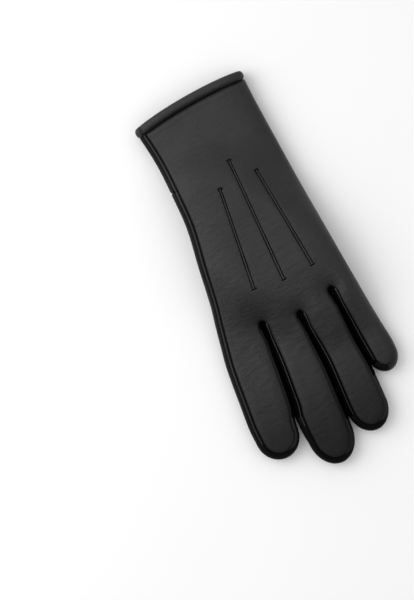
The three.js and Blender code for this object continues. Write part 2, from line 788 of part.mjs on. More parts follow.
// A stitched point: a low round ridge with a bar tack across each end.
function pointGeometry(point) {
  const from = [point.topAcross * PALM_WIDTH, point.topAlong * HAND_LENGTH];
  const to = [point.across * PALM_WIDTH, point.along * HAND_LENGTH];
  const length = Math.hypot(to[0] - from[0], to[1] - from[1]);
  const ax = (to[0] - from[0]) / length;
  const ay = (to[1] - from[1]) / length;
  const blend = 0.3;
  const steps = 10;
  const stops = [
    { at: 0, width: TACK_WIDTH },
    { at: TACK_LENGTH, width: TACK_WIDTH },
  ];
  for (let k = 0; k <= steps; k++) {
    const at = lerp(TACK_LENGTH + blend, length - TACK_LENGTH - blend, k / steps);
    stops.push({ at, width: POINT_WIDTH });
  }
  stops.push({ at: length - TACK_LENGTH, width: TACK_WIDTH }, { at: length, width: TACK_WIDTH });
  const shape = [
    { across: -0.5, up: 0 },
    { across: -0.42, up: 0.7 },
    { across: 0, up: 1 },
    { across: 0.42, up: 0.7 },
    { across: 0.5, up: 0 },
  ];
  const rings = stops.map(({ at, width }) =>
    shape.map(({ across, up }) => {
      const x = from[0] + ax * at - ay * across * width;
      const y = from[1] + ay * at + ax * across * width;
      const { z } = rise(depthAt(x, y).depth, halfAt(y), roundAt(x, y, 1));
      return draped([x, y, z + PIECE_GAP + POINT_HEIGHT * up]);
    }),
  );
  const n = shape.length;
  const faces = ringFaces(rings.length, n).slice(0, (rings.length - 1) * n * 2);
  const last = (rings.length - 1) * n;
  for (let k = 1; k < n - 1; k++) {
    faces.push([0, k + 1, k], [last, last + k, last + k + 1]);
  }
  return geometryOf(rings.flat(), faces);
}

// One ring of the thumb in its own plane, drawn in from the outside by a wall.
function thumbRing({ origin, tilt, near, far, width, seam }, inset) {
  const back = [-Math.cos(tilt) * THUMB_ALONG[0], -Math.cos(tilt) * THUMB_ALONG[1], -Math.sin(tilt)];
  const half = width / 2 - inset;
  const deep = (far - near) / 2 - inset;
  const swell = (v) => Math.sign(v) * Math.abs(v) ** (2 / ROUNDNESS);
  return Array.from({ length: THUMB_SIDES }, (_, k) => {
    const angle = (2 * Math.PI * k) / THUMB_SIDES;
    const across = half * swell(Math.cos(angle));
    const down = (near + far) / 2 - deep * swell(Math.sin(angle));
    return [0, 1, 2].map((i) => origin[i] + (i < 2 ? seam[i] * across : 0) + back[i] * down);
  });
}

// The thumb's rings: folding down from the opening in the palm, then along the surface to the tip.
function thumbRings(inset) {
  const rings = [];
  const turnSteps = 6;
  const bend = THUMB_HOLE + THUMB_BEND;
  const at = (a, z) => [THUMB_BASE[0] + THUMB_ALONG[0] * a, THUMB_BASE[1] + THUMB_ALONG[1] * a, z];
  const seamAt = (t) => {
    const x = lerp(THUMB_SEAM[0], THUMB_ACROSS[0], t);
    const y = lerp(THUMB_SEAM[1], THUMB_ACROSS[1], t);
    return [x / Math.hypot(x, y), y / Math.hypot(x, y)];
  };
  for (let k = 0; k <= turnSteps; k++) {
    const tilt = (Math.PI / 2) * (k / turnSteps);
    const far = 1 / Math.hypot(Math.cos(tilt) / bend, Math.sin(tilt) / THUMB_TOP);
    const width = lerp(THUMB_WIDTH, thumbWidth(bend), k / turnSteps);
    const seam = seamAt((0.5 * k) / turnSteps);
    rings.push(thumbRing({ origin: at(bend, THUMB_TOP), tilt, near: THUMB_BEND, far, width, seam }, inset));
  }
  const level = { tilt: Math.PI / 2, near: THUMB_BEND, far: THUMB_TOP };
  const straightSteps = 5;
  for (let k = 1; k <= straightSteps; k++) {
    const a = lerp(bend, THUMB_TIP_START, k / straightSteps);
    const seam = seamAt(0.5 + (0.5 * k) / straightSteps);
    rings.push(thumbRing({ ...level, origin: at(a, THUMB_TOP), width: thumbWidth(a), seam }, inset));
  }
  // The round tip: each ring smaller by a quarter circle, about the same middle height.
  const reach = THUMB_TIP_WIDTH / 2 - inset;
  for (const angle of [25, 50, 70, 84]) {
    const share = Math.cos(radians(angle));
    const tip = { ...level, origin: at(0, THUMB_TOP), width: THUMB_TIP_WIDTH, seam: THUMB_ACROSS };
    const whole = thumbRing(tip, inset);
    const a = THUMB_TIP_START + reach * Math.sin(radians(angle));
    const middle = at(0, THUMB_THICKNESS / 2);
    rings.push(
      whole.map((p) => [
        at(a, 0)[0] + (p[0] - middle[0]) * share,
        at(a, 0)[1] + (p[1] - middle[1]) * share,
        middle[2] + (p[2] - middle[2]) * Math.sqrt(share),
      ]),
    );
  }
  // Everything sinks by the press, and what would go under the surface is flat on it.
  return rings.map((ring) => ring.map(([x, y, z]) => [x, y, Math.max(z - THUMB_PRESS, inset)]));
}

function thumbGeometry() {
  const outer = thumbRings(0);
  const inner = thumbRings(WALL).reverse();
  const rings = [...inner, ...outer];
  const n = THUMB_SIDES;
  // Inner tip, inner skin, the rim at the base, outer skin, outer tip.
  const faces = ringFaces(rings.length, n).slice(0, (rings.length - 1) * n * 2);
  const cap = (start, flip) => {
    for (let k = 1; k < n - 1; k++) {
      faces.push(flip ? [start, start + k, start + k + 1] : [start, start + k + 1, start + k]);
    }
  };
  cap(0, false);
  cap((rings.length - 1) * n, true);
  return geometryOf(rings.flat(), faces);
}

// A geometry as a manifold solid, turned so that its faces point out.
function solidOf(geometry) {
  const merged = mergeVertices(geometry, 1e-4);
  const vertProperties = new Float32Array(merged.attributes.position.array);
  const triVerts = new Uint32Array(merged.index.array);
  const made = new wasm.Manifold(new wasm.Mesh({ numProp: 3, vertProperties, triVerts }));
  if (made.volume() > 0) {
    return made;
  }
  for (let i = 0; i < triVerts.length; i += 3) {
    [triVerts[i + 1], triVerts[i + 2]] = [triVerts[i + 2], triVerts[i + 1]];
  }
  return new wasm.Manifold(new wasm.Mesh({ numProp: 3, vertProperties, triVerts }));
}

function bufferOf(solid) {
  const { vertProperties, triVerts, numProp } = solid.getMesh();
  const geometry = new THREE.BufferGeometry();
  const positions = new Float32Array((vertProperties.length / numProp) * 3);
  for (let i = 0; i < positions.length / 3; i++) {
    positions.set(vertProperties.subarray(i * numProp, i * numProp + 3), i * 3);
  }
  geometry.setAttribute("position", new THREE.BufferAttribute(positions, 3));
  geometry.setIndex(new THREE.BufferAttribute(triVerts, 1));
  geometry.computeVertexNormals();
  return geometry;
}

// The opening in the palm that the thumb's base is sewn round, as an upright plug.
function thumbHolePlug() {
  const ring = thumbRings(WALL)[0];
  const n = ring.length;
  const low = ring.map(([x, y]) => [x, y, THUMB_TOP - HAND_THICKNESS / 4]);
  const high = ring.map(([x, y]) => [x, y, LIFT + HAND_THICKNESS / 2]);
  const faces = ringFaces(2, n).slice(0, n * 2);
  for (let k = 1; k < n - 1; k++) {
    faces.push([0, k + 1, k], [n, n + k, n + k + 1]);
  }
  return geometryOf([...low, ...high], faces);
}

// The palm is draped like the rest, after the elastic and the folds have drawn its leather up.
const palmPlace = ([x, y, z]) => draped([x, y, z + (z < -WALL ? drawnUp(x, y) : 0)]);

const palm = solidOf(palmSheet().solid(WALL, palmPlace)).subtract(solidOf(thumbHolePlug()));

// Middle of the outline, which the origin lies under
const xs = OUTLINE.map((p) => p[0]);
const middleX = (Math.min(...xs) + Math.max(...xs)) / 2;
const lowY = Math.min(...OUTLINE.map((p) => p[1]));
const middleY = (lowY + HAND_LENGTH) / 2;

const leather = new THREE.MeshStandardMaterial({ color: 0x1b1b1c, roughness: 0.5, metalness: 0 });
const sideLeather = new THREE.MeshStandardMaterial({ color: 0x161617, roughness: 0.5, metalness: 0 });
const hemLeather = new THREE.MeshStandardMaterial({ color: 0x1d1d1e, roughness: 0.45, metalness: 0 });

const glove = new THREE.Group();
const seated = new THREE.Group();
seated.position.set(-middleX, -middleY, 0);
glove.add(seated);

function add(name, geometry, material) {
  const mesh = new THREE.Mesh(bufferOf(solidOf(geometry)), material);
  mesh.name = name;
  seated.add(mesh);
}

add("back_panel", backSheet().solid(WALL, draped), leather);
add("palm_panel", bufferOf(palm), leather);
add("index_gusset", gussetSheet().solid(WALL, draped), sideLeather);
SLITS.forEach((_, i) => {
  add(`fork_${FINGERS[i].name}_${FINGERS[i + 1].name}`, forkSheet(i).solid(WALL, draped), sideLeather);
});
add("thumb", thumbGeometry(), leather);
add("cuff_hem", hemGeometry(), hemLeather);
POINTS.forEach((point) => add(`point_${point.name}`, pointGeometry(point), leather));

export default glove;
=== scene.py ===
"""A lined leather dress glove for the left hand, lying on its palm with the thumb folded under it.

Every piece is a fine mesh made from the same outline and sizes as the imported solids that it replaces.
Lengths in the tables and functions are millimetres; the meshes are made in metres.
"""

import math

import bpy
import numpy as np
from mathutils import Matrix, Vector


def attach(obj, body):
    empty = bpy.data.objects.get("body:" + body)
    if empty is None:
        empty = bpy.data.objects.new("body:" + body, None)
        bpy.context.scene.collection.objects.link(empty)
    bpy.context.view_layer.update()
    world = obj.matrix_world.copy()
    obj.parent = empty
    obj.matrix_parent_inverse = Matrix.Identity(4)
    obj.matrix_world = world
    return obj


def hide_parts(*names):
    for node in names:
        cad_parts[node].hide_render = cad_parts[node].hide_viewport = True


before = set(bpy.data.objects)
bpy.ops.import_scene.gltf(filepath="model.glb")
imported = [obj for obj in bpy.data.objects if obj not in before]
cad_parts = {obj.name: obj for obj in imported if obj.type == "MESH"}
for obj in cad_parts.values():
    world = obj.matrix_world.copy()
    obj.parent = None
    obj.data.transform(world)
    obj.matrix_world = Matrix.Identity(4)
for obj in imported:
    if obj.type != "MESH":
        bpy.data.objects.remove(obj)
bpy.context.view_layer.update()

bl_info = {
    "name": "Lined leather glove",
    "version": (1, 0, 0),
    "blender": (4, 5, 0),
    "location": "View3D > Sidebar > Glove",
    "description": "Builds a lined leather dress glove round its packed solids",
    "category": "Object",
}

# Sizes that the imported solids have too, in millimetres
HAND_LENGTH = 158.0
FINGER_THICKNESS = 13.2
HAND_THICKNESS = 18.0
CUFF_THICKNESS = 17.0
FINGER_ROUND = 12.0
LITTLE_ROUND = 9.2
LITTLE_BLEND = 5.0
KNUCKLE_BELOW = 18.0
KNUCKLE_ABOVE = 30.0
HAND_ROUND = 26.0
PALM_ROUND = 0.7
ROUNDNESS = 2.4
WALL = 2.2
PIECE_GAP = 0.35
RIM_INDEX_SIDE = 4.4
RIM_LITTLE_SIDE = 2.6
RIM_TIP = 4.0
RIM_CROTCH = 1.1
RIM_RUN = 42.0
EDGE_BLEND = 12.0
CROTCH_RADIUS = 1.3
SLIT_NARROWS = 14.0
HEM_WIDTH = 6.2
HEM_PROUD = 0.8
CUFF_DROP = 2.8
CUFF_CREST = 0.55
NOTCH = 0.65
ELASTIC = 0.745
PLEATS = 8
PLEAT_DEPTH = 1.7
PLEAT_REACH = 11.0
WRIST_PINCH = 1.6
POINT_WIDTH = 1.9
TACK_WIDTH = 3.6
TACK_LENGTH = 1.1
THUMB_LENGTH = 84.0
THUMB_WIDTH = 45.0
THUMB_TIP_WIDTH = 27.0
THUMB_THICKNESS = 10.4
THUMB_PRESS = 0.8
THUMB_LEAN = math.radians(41)
THUMB_SLANT = math.radians(18)
THUMB_HOLE = 32.0
THUMB_BEND = 1.0
DRAPE = 42.0
BRIDGE = 5.0

# Sizes of the finer forms that only these meshes have, in millimetres unless it says otherwise
SLIT = 0.1
RIM_FORK = 3.7  # seam in from the outline, on the side that faces the finger before
RIM_BEND = 0.9  # how much farther in it runs beside the middle fingertip
RIM_BEND_AT = 0.635  # share of that finger's length
RIM_BEND_REACH = 13.0
OUTER_START = 0.67  # share of a crotch's height that an outer edge's first rows pass
CUFF_FLATTENS = 0.66  # share of the hand's length
KNUCKLE_ARCH = 3.0
SEAM_RAMP = 0.35  # how much wider than at a crotch the rim is where its seam is whole
ROLL_REACH = 0.7
PAD = 0.3  # height of the padded leather beside a seam
PAD_AT = 1.9
WELT_ROLL_REACH = 0.8
WELT_AT = 1.35  # in from the seam
WELT = 0.42
WELT_WIDTH = 0.3
WELT_HIGHLIGHT_HALF = 0.34  # half of the width of the line painted with the welt's highlight
BEHIND_WELT = 0.95
BEHIND_WELT_DEPTH = 0.35
BEHIND_WELT_WIDTH = 0.45
PUCKER = 0.16
PUCKER_LENGTH = 2.3
PUCKER_REACH = 2.6
TUCK = 1.5  # how deep the leather's end lies in the hem's seam
TUCK_REACH = 1.3
LIP = 0.3
LIP_AT = 3.2
LIP_WIDTH = 1.5
POINT_DIP = 0.45
POINT_DIP_WIDTH = 1.7
NOTCH_DEPTH = 0.7
NOTCH_WIDTH = 0.6
NOTCH_CLEAR = 0.2
STRIP_SEEN = 2.3  # how far from its back seam a strip keeps the panel's plain leather, on sides that face right; past it the strip has painted shade
POINT_EDGE = 2.6  # half of the width of a stitched point's mesh
POINT_PAST = 2.2  # how far that mesh goes on past the point's ends
POINT_WALL = 0.3
STITCH_HALF = 0.34  # half of the width of a line of stitches
HEM_EXTRA = 1.6  # how much thicker than the wall the rolled hem is
TONGUE = 1.8  # how far in the hem's inner edge reaches
TONGUE_ALONG = 1.4

# Each finger's edges as shares of its width, at shares of its length from the crotch line.
FINGERS = [
    {
        "name": "index", "length": 86.0, "width": 30.7, "tip": 0.815,
        "along": [0, 0.16, 0.29, 0.48, 0.68, 0.75, 0.815],
        "left": [-0.5, -0.58, -0.62, -0.662, -0.705, -0.703, -0.695],
        "right": [0.53, 0.52, 0.5, 0.45, 0.37, 0.285, 0.256],
    },
    {
        "name": "middle", "length": 104.0, "width": 24.9, "tip": 0.81,
        "along": [0, 0.15, 0.36, 0.53, 0.63, 0.73, 0.81],
        "left": [-0.53, -0.54, -0.6, -0.68, -0.745, -0.742, -0.709],
        "right": [0.53, 0.55, 0.6, 0.59, 0.58, 0.545, 0.512],
    },
    {
        "name": "ring", "length": 94.2, "width": 25.3, "tip": 0.82,
        "along": [0, 0.15, 0.4, 0.57, 0.7, 0.82],
        "left": [-0.53, -0.5, -0.445, -0.445, -0.45, -0.448],
        "right": [0.53, 0.555, 0.61, 0.64, 0.634, 0.627],
    },
    {
        "name": "little", "length": 62.4, "width": 17.8, "tip": 0.809,
        "along": [0, 0.15, 0.5, 0.7, 0.809],
        "left": [-0.53, -0.49, -0.425, -0.365, -0.33],
        "right": [0.5, 0.55, 0.7, 0.79, 0.798],
    },
]

# Each slit: its crotch as a share of the hand's length, its drift as shares of the palm's width.
SLITS = [
    {"crotch": 0.011, "along": [0, 0.16, 0.42, 0.65, 0.75], "across": [0, -0.004, -0.02, -0.041, -0.063]},
    {"crotch": -0.015, "along": [0, 0.18, 0.41, 0.58, 0.81], "across": [0, 0.008, 0.021, 0.018, 0.01]},
    {"crotch": 0.023, "along": [0, 0.17, 0.47, 0.69, 0.86], "across": [0, 0.008, 0.017, 0.028, 0.0355]},
]

# The hand's edges from the crotch line to the cuff, as shares of the palm's width.
HAND_EDGES = {
    "along": [0, 0.08, 0.16, 0.32, 0.49, 0.62, 0.77, 0.88, 1],
    "left": [-0.5, -0.476, -0.45, -0.416, -0.376, -0.372, -0.376, -0.396, -0.43],
    "right": [0.5, 0.487, 0.476, 0.456, 0.436, 0.423, 0.407, 0.397, 0.392],
}

# The stitched points: both ends as shares of the palm's width and the hand's length.
POINTS = [
    {"name": "index", "top": (-0.068, 0.584), "end": (-0.143, 0.149)},
    {"name": "middle", "top": (0.066, 0.677), "end": (0.062, 0.134)},
    {"name": "ring", "top": (0.202, 0.593), "end": (0.274, 0.139)},
]

# Long dents in the palm beside the thumb's base, in the same shares, and their millimetres.
DENTS = [
    {"top": (0.03, 0.68), "end": (0.27, 0.33), "depth": 1.6, "width": 5.0},
    {"top": (0.13, 0.7), "end": (0.36, 0.36), "depth": 1.4, "width": 6.0},
]
THUMB_PLACE = (-0.178, 0.435)

# How the fine meshes are divided
FINGER_COLUMNS = 26
FINGER_ROWS = 96
HAND_ROWS = 150
SIDE_STEPS = 22
CROTCH_STEPS = 5
ARC_STEPS = 20
TIP_ANGLE = 45  # degrees round a fingertip where its side rows end and its tip row starts
OUTLINE_STEPS = 60
OUTLINE_ARC_STEPS = 24
DEPTH_CHUNK = 4000  # points measured at a time
THUMB_SIDES = 120
THUMB_TURN_STEPS = 48
THUMB_STEPS = 40
THUMB_TIP_STEPS = 32
HEM_SIDES = 28
HEM_QUARTER = 80
HEM_FLAT = 60

OUTWARD = {"left": -1.0, "right": 1.0}
OUTER_SIDES = ((0, "left"), (3, "right"))

# What the faces of a skin can show, by number: plain leather, a strip in painted shade, a welt line with a
# painted highlight, a slit side in deeper painted shade; the last is the inside.
LEATHER, STRIP_PAINTED_SHADE, WELT_PAINTED_HIGHLIGHT, SLIT_PAINTED_SHADE = range(4)
SKIN_FINISHES = ("nappa", "side_nappa", "welt_nappa", "slit_nappa", "knit_lining")
POINT_FINISHES = ("nappa", "thread", "welt_nappa", "thread")

# How light each leather is next to the plain one, and how glossy: the side and slit copies are darker as
# painted shade, the welt copy lighter as a painted highlight
LEATHERS = {
    "side_nappa": (0.3, 0.1),
    "slit_nappa": (0.1, 0.02),
    "welt_nappa": (2.2, 0.55),
    "nappa": (1.0, 0.46),
    "hem_nappa": (1.0, 0.46),
}


def lerp(a, b, t):
    return a + (b - a) * t


def smoothstep(low, high, x):
    t = np.clip((np.asarray(x, float) - low) / (high - low), 0, 1)
    return t * t * (3 - 2 * t)


def bump(x, width):
    return np.exp(-((np.asarray(x) / width) ** 2))


def signed_power(v, power):
    return np.sign(v) * np.abs(v) ** power


def follow(table, column, at, held=False):
    """A smooth curve through a table's rows, going straight on beyond its ends unless it is held."""
    along = np.asarray(table["along"], float)
    value = np.asarray(table[column], float)
    at = np.asarray(at, float)
    k = np.arange(len(along))
    before, after = np.maximum(k - 1, 0), np.minimum(k + 1, k[-1])
    slopes = (value[after] - value[before]) / (along[after] - along[before])
    i = np.clip(np.searchsorted(along, at, "right") - 1, 0, len(along) - 2)
    span = along[i + 1] - along[i]
    t = (at - along[i]) / span
    curve = (
        value[i] * (2 * t**3 - 3 * t**2 + 1)
        + slopes[i] * span * (t**3 - 2 * t**2 + t)
        + value[i + 1] * (3 * t**2 - 2 * t**3)
        + slopes[i + 1] * span * (t**3 - t**2)
    )
    for end, past in ((0, at <= along[0]), (-1, at >= along[-1])):
        straight = 0.0 if held else slopes[end] * (at - along[end])
        curve = np.where(past, value[end] + straight, curve)
    return curve


PALM_WIDTH = sum(finger["width"] for finger in FINGERS)
place = -PALM_WIDTH / 2
for finger in FINGERS:
    finger["middle"] = place + finger["width"] / 2
    place += finger["width"]
for i, slit in enumerate(SLITS):
    slit["base"] = FINGERS[i]["middle"] + FINGERS[i]["width"] / 2
    slit["reach"] = min(FINGERS[i]["length"], FINGERS[i + 1]["length"])
    slit["top"] = slit["crotch"] * HAND_LENGTH


def slit_middle(slit, y):
    return slit["base"] + PALM_WIDTH * follow(slit, "across", -np.asarray(y) / slit["reach"], True)


def slit_half(slit, y):
    return lerp(CROTCH_RADIUS, SLIT / 2, smoothstep(CROTCH_RADIUS, SLIT_NARROWS, slit["top"] - y))


def hand_edge(side, y):
    return PALM_WIDTH * follow(HAND_EDGES, side, np.asarray(y) / HAND_LENGTH)


def slit_beside(i, side):
    """The slit on that side of a finger, or the nearest one beside an outer edge."""
    return SLITS[min(max(i - 1 if side == "left" else i, 0), 2)]


def finger_edge(i, side, y):
    finger = FINGERS[i]
    y = np.asarray(y, float)
    own = finger["middle"] + finger["width"] * follow(finger, side, -y / finger["length"])
    if (i, side) in OUTER_SIDES:
        return lerp(own, hand_edge(side, y), smoothstep(-EDGE_BLEND, EDGE_BLEND, y))
    slit = slit_beside(i, side)
    middle = slit_middle(slit, y)
    half = slit_half(slit, y)
    if side == "left":
        return np.maximum(own, middle + half)
    return np.minimum(own, middle - half)


def cuff_edge(x):
    half = (hand_edge("right", HAND_LENGTH) - hand_edge("left", HAND_LENGTH)) / 2
    return HAND_LENGTH - CUFF_DROP * (x / half - CUFF_CREST) ** 2


def leather_end(x):
    return cuff_edge(x) - HEM_WIDTH - PIECE_GAP


def side_rim(side):
    return RIM_INDEX_SIDE if side == "left" else RIM_LITTLE_SIDE


def finger_rim(i, side):
    return RIM_FORK if side == "left" and i > 0 else side_rim(side)


def seam_strength(nx, rim):
    """1 where a seam is a plain groove, less where the leather lies smooth over it."""
    index_side = lerp(0.5, 1.0, smoothstep(0.75, -0.35, nx))
    return index_side * smoothstep(RIM_CROTCH, RIM_CROTCH + SEAM_RAMP, rim)


def stations(x, y, nx, ny, rim):
    """Rows of a point of the outline, its outward normal, the rim's width and the seam's strength."""
    length = np.hypot(nx, ny)
    strength = seam_strength(nx / length, rim)
    return np.column_stack(np.broadcast_arrays(x, y, nx / length, ny / length, rim, strength))


def edge_stations(edge_at, side, y, rim):
    step = 0.5
    slope = (edge_at(y + step) - edge_at(y - step)) / (2 * step)
    return stations(edge_at(y), y, np.full(len(y), OUTWARD[side]), -OUTWARD[side] * slope, rim)


def tip_edges(i):
    """Where a fingertip's round starts along the finger, and both edges there."""
    y = -FINGERS[i]["tip"] * FINGERS[i]["length"]
    return y, float(finger_edge(i, "left", y)), float(finger_edge(i, "right", y))


def tip_stations(i, side, angles):
    y, left, right = tip_edges(i)
    half = (right - left) / 2
    reach = FINGERS[i]["length"] * (1 - FINGERS[i]["tip"])
    c = OUTWARD[side] * np.cos(np.radians(angles))
    s = np.sin(np.radians(angles))
    rim = lerp(finger_rim(i, side), RIM_TIP, s**2)
    return stations((left + right) / 2 + half * c, y - reach * s, c / half, -s / reach, rim)


def finger_stations(i, side, to_angle=TIP_ANGLE, arc_steps=ARC_STEPS, rows=FINGER_ROWS):
    """Stations down one side of a finger, from its crotch round the tip to an angle."""
    finger = FINGERS[i]
    outward = OUTWARD[side]
    outer = (i, side) in OUTER_SIDES
    bend = RIM_BEND if (i, side) == (1, "left") else 0
    slit = slit_beside(i, side)

    def rim_at(y):
        if outer:
            return np.full(np.shape(y), side_rim(side))
        short = np.clip(1 - (slit["top"] - y) / RIM_RUN, 0, 1)
        more = bend * bump(y + RIM_BEND_AT * finger["length"], RIM_BEND_REACH)
        return lerp(finger_rim(i, side), RIM_CROTCH, short**2) + more

    def along_edge(ys):
        return edge_stations(lambda y: finger_edge(i, side, y), side, ys, rim_at(ys))

    if outer:
        ys = slit["top"] - np.linspace(0, 2 * CROTCH_RADIUS * OUTER_START, CROTCH_STEPS + 1)
        first = along_edge(ys)
        top = ys[-1]
    else:
        away = np.linspace(0, math.pi / 2, CROTCH_STEPS + 1)
        x = float(slit_middle(slit, slit["top"]))
        first = stations(
            x - outward * CROTCH_RADIUS * np.sin(away),
            slit["top"] - CROTCH_RADIUS * (1 - np.cos(away)),
            outward * np.sin(away),
            -np.cos(away),
            RIM_CROTCH,
        )
        top = slit["top"] - CROTCH_RADIUS
    ys = np.linspace(top, -finger["tip"] * finger["length"], rows + 1)[1:]
    arc = tip_stations(i, side, np.linspace(0, to_angle, arc_steps + 1)[1:])
    return np.vstack([first, along_edge(ys), arc])


def tip_row(i):
    """Stations across a fingertip, between the ends of its side rows."""
    angles = np.linspace(TIP_ANGLE, 180 - TIP_ANGLE, FINGER_COLUMNS + 1)
    left = tip_stations(i, "left", angles[angles <= 90])
    right = tip_stations(i, "right", 180 - angles[angles > 90])
    return np.vstack([left, right])


def hand_stations(side):
    i = 0 if side == "left" else 3
    end = float(leather_end(hand_edge(side, HAND_LENGTH - HEM_WIDTH)))
    ys = np.linspace(slit_beside(i, side)["top"], end, HAND_ROWS + 1)

    def edge_at(y):
        return np.where(y < EDGE_BLEND, finger_edge(i, side, y), hand_edge(side, y))

    return edge_stations(edge_at, side, ys, side_rim(side))


def outline():
    """The whole outline as an open line of stations, from beyond the cuff round to beyond it again."""
    beyond = HAND_LENGTH + HAND_ROUND
    ends = [
        stations(hand_edge(side, beyond), beyond, OUTWARD[side], 0.0, side_rim(side)) for side in OUTWARD
    ]
    line = [ends[0], hand_stations("left")[::-2]]
    for i in range(4):
        sides = [finger_stations(i, side, 90, OUTLINE_ARC_STEPS, OUTLINE_STEPS) for side in OUTWARD]
        line += [sides[0], sides[1][-2::-1]]
    return np.vstack([*line, hand_stations("right")[::2], ends[1]])


OUTLINE = outline()
MIDDLE_X = (OUTLINE[:, 0].min() + OUTLINE[:, 0].max()) / 2
MIDDLE_Y = (OUTLINE[:, 1].min() + HAND_LENGTH) / 2


def depth_at(x, y):
    """Distance in from the outline, the way it grows, the rim and seam there, the run along the outline."""
    start = OUTLINE[:-1]
    edge = OUTLINE[1:, :2] - start[:, :2]
    square = np.maximum((edge**2).sum(1), 1e-12)
    run = np.concatenate([[0], np.cumsum(np.sqrt(square))])
    found = np.empty((6, len(x)))
    for low in range(0, len(x), DEPTH_CHUNK):
        part = slice(low, low + DEPTH_CHUNK)
        dx = x[part, None] - start[None, :, 0]
        dy = y[part, None] - start[None, :, 1]
        t = np.clip((dx * edge[:, 0] + dy * edge[:, 1]) / square, 0, 1)
        dx = dx - t * edge[:, 0]
        dy = dy - t * edge[:, 1]
        away = dx * dx + dy * dy
        k = away.argmin(1)
        nearest = (np.arange(len(k)), k)
        depth = np.sqrt(away[nearest])
        share = t[nearest]
        gx, gy = (d[nearest] / np.maximum(depth, 1e-9) for d in (dx, dy))
        rim, seam = (lerp(OUTLINE[k, column], OUTLINE[k + 1, column], share) for column in (4, 5))
        found[:, part] = depth, gx, gy, rim, seam, lerp(run[k], run[k + 1], share)
    return found


def finger_share(y):
    return 1 - smoothstep(-KNUCKLE_BELOW, KNUCKLE_ABOVE, y)


def half_at(y):
    y = np.minimum(y, HAND_LENGTH)
    hand = lerp(HAND_THICKNESS, CUFF_THICKNESS, smoothstep(CUFF_FLATTENS * HAND_LENGTH, HAND_LENGTH, y))
    return lerp(hand, FINGER_THICKNESS, finger_share(y)) / 2


def round_at(x, y, face):
    """The rounding's reach at a plan point, on the back (+1) or the palm (-1)."""
    last = SLITS[-1]["base"]
    finger = lerp(FINGER_ROUND, LITTLE_ROUND, smoothstep(last - LITTLE_BLEND, last + LITTLE_BLEND, x))
    return lerp(HAND_ROUND, finger, finger_share(y)) * np.where(np.asarray(face) > 0, 1.0, PALM_ROUND)


def rise(depth, half, round_):
    """Height over the middle plane and the surface normal, at a depth in from the outline."""
    inward = np.clip(1 - depth / round_, 0, 1)
    share = (1 - inward**ROUNDNESS) ** (1 / ROUNDNESS)
    side = inward ** (ROUNDNESS - 1) / round_
    up = np.maximum(share, 1e-6) ** (ROUNDNESS - 1) / half
    length = np.hypot(side, up)
    return half * share, side / length, up / length


def soft_noise(x, y, size, seed):
    """Smooth seeded noise from -1 to 1 on a plane, with features of about the given size."""
    cells = 64
    away = 1000
    table = np.random.default_rng(seed).uniform(-1, 1, (cells, cells))
    u = np.asarray(x) / size + away
    v = np.asarray(y) / size + away
    i = np.floor(u).astype(int)
    j = np.floor(v).astype(int)
    rows = (i % cells, (i + 1) % cells)
    fu = smoothstep(0, 1, u - i)
    low, high = (lerp(table[rows[0], k % cells], table[rows[1], k % cells], fu) for k in (j, j + 1))
    return lerp(low, high, smoothstep(0, 1, v - j))


# The thumb's directions in plan: along it, square across it, and along its base seam
THUMB_ALONG = np.array([math.sin(THUMB_LEAN), -math.cos(THUMB_LEAN)])
THUMB_ACROSS = np.array([-THUMB_ALONG[1], THUMB_ALONG[0]])
THUMB_SEAM = THUMB_ACROSS * math.cos(THUMB_SLANT) - THUMB_ALONG * math.sin(THUMB_SLANT)
THUMB_BASE = np.array([THUMB_PLACE[0] * PALM_WIDTH, THUMB_PLACE[1] * HAND_LENGTH])
THUMB_TOP = THUMB_THICKNESS + THUMB_BEND
LIFT = THUMB_TOP - THUMB_PRESS + PIECE_GAP
THUMB_TIP_START = THUMB_LENGTH - THUMB_TIP_WIDTH / 2


def thumb_width(a):
    return lerp(THUMB_WIDTH, THUMB_TIP_WIDTH, np.clip(a / THUMB_TIP_START, 0, 1))


def lift_at(x, y):
    dx = x - THUMB_BASE[0]
    dy = y - THUMB_BASE[1]
    a = np.clip(dx * THUMB_ALONG[0] + dy * THUMB_ALONG[1], 0, THUMB_TIP_START)
    away = np.hypot(dx - a * THUMB_ALONG[0], dy - a * THUMB_ALONG[1]) - thumb_width(a) / 2
    return LIFT * (1 - smoothstep(BRIDGE, DRAPE, away))


def draped(points):
    """Puts flat glove points where they lie, in metres in the frame of the solids."""
    x, y, z = (points[..., k] for k in range(3))
    return np.stack([x - MIDDLE_X, y - MIDDLE_Y, z + half_at(y) + lift_at(x, y)], -1) / 1000


def line_ends(line):
    """A line's first end in plan, the way to its other end, and its length."""
    a, b = (np.array([line[end][0] * PALM_WIDTH, line[end][1] * HAND_LENGTH]) for end in ("top", "end"))
    return a, b - a, math.hypot(*(b - a))


def along_line(x, y, line):
    """Share along a line and the distance off it, with the line's length."""
    (ax, ay), (ex, ey), length = line_ends(line)
    t = ((x - ax) * ex + (y - ay) * ey) / length**2
    off = ((x - ax) * ey - (y - ay) * ex) / length
    return t, off, length


def palm_folds(x, y):
    """How far the wrist elastic's gathers and the folds beside the thumb draw the palm up."""
    left = hand_edge("left", y) + RIM_INDEX_SIDE
    right = hand_edge("right", y) - RIM_LITTLE_SIDE
    share = np.clip((x - left) / (right - left), 0, 1)
    inside = smoothstep(0, 0.12, share) * smoothstep(0, 0.12, 1 - share)
    away = y - ELASTIC * HAND_LENGTH
    near = bump(away, PLEAT_REACH)
    lean = share + 0.004 * away * np.sin(9 * share)
    pleat = 0.5 - 0.5 * np.cos(2 * math.pi * PLEATS * lean)
    up = near * inside * (WRIST_PINCH + PLEAT_DEPTH * pleat**0.8)
    for dent in DENTS:
        t, off, _ = along_line(x, y, dent)
        fade = smoothstep(0, 0.25, t) * smoothstep(0, 0.3, 1 - t)
        up = up + dent["depth"] * fade * bump(off, dent["width"] / 3.2) * inside
    return up


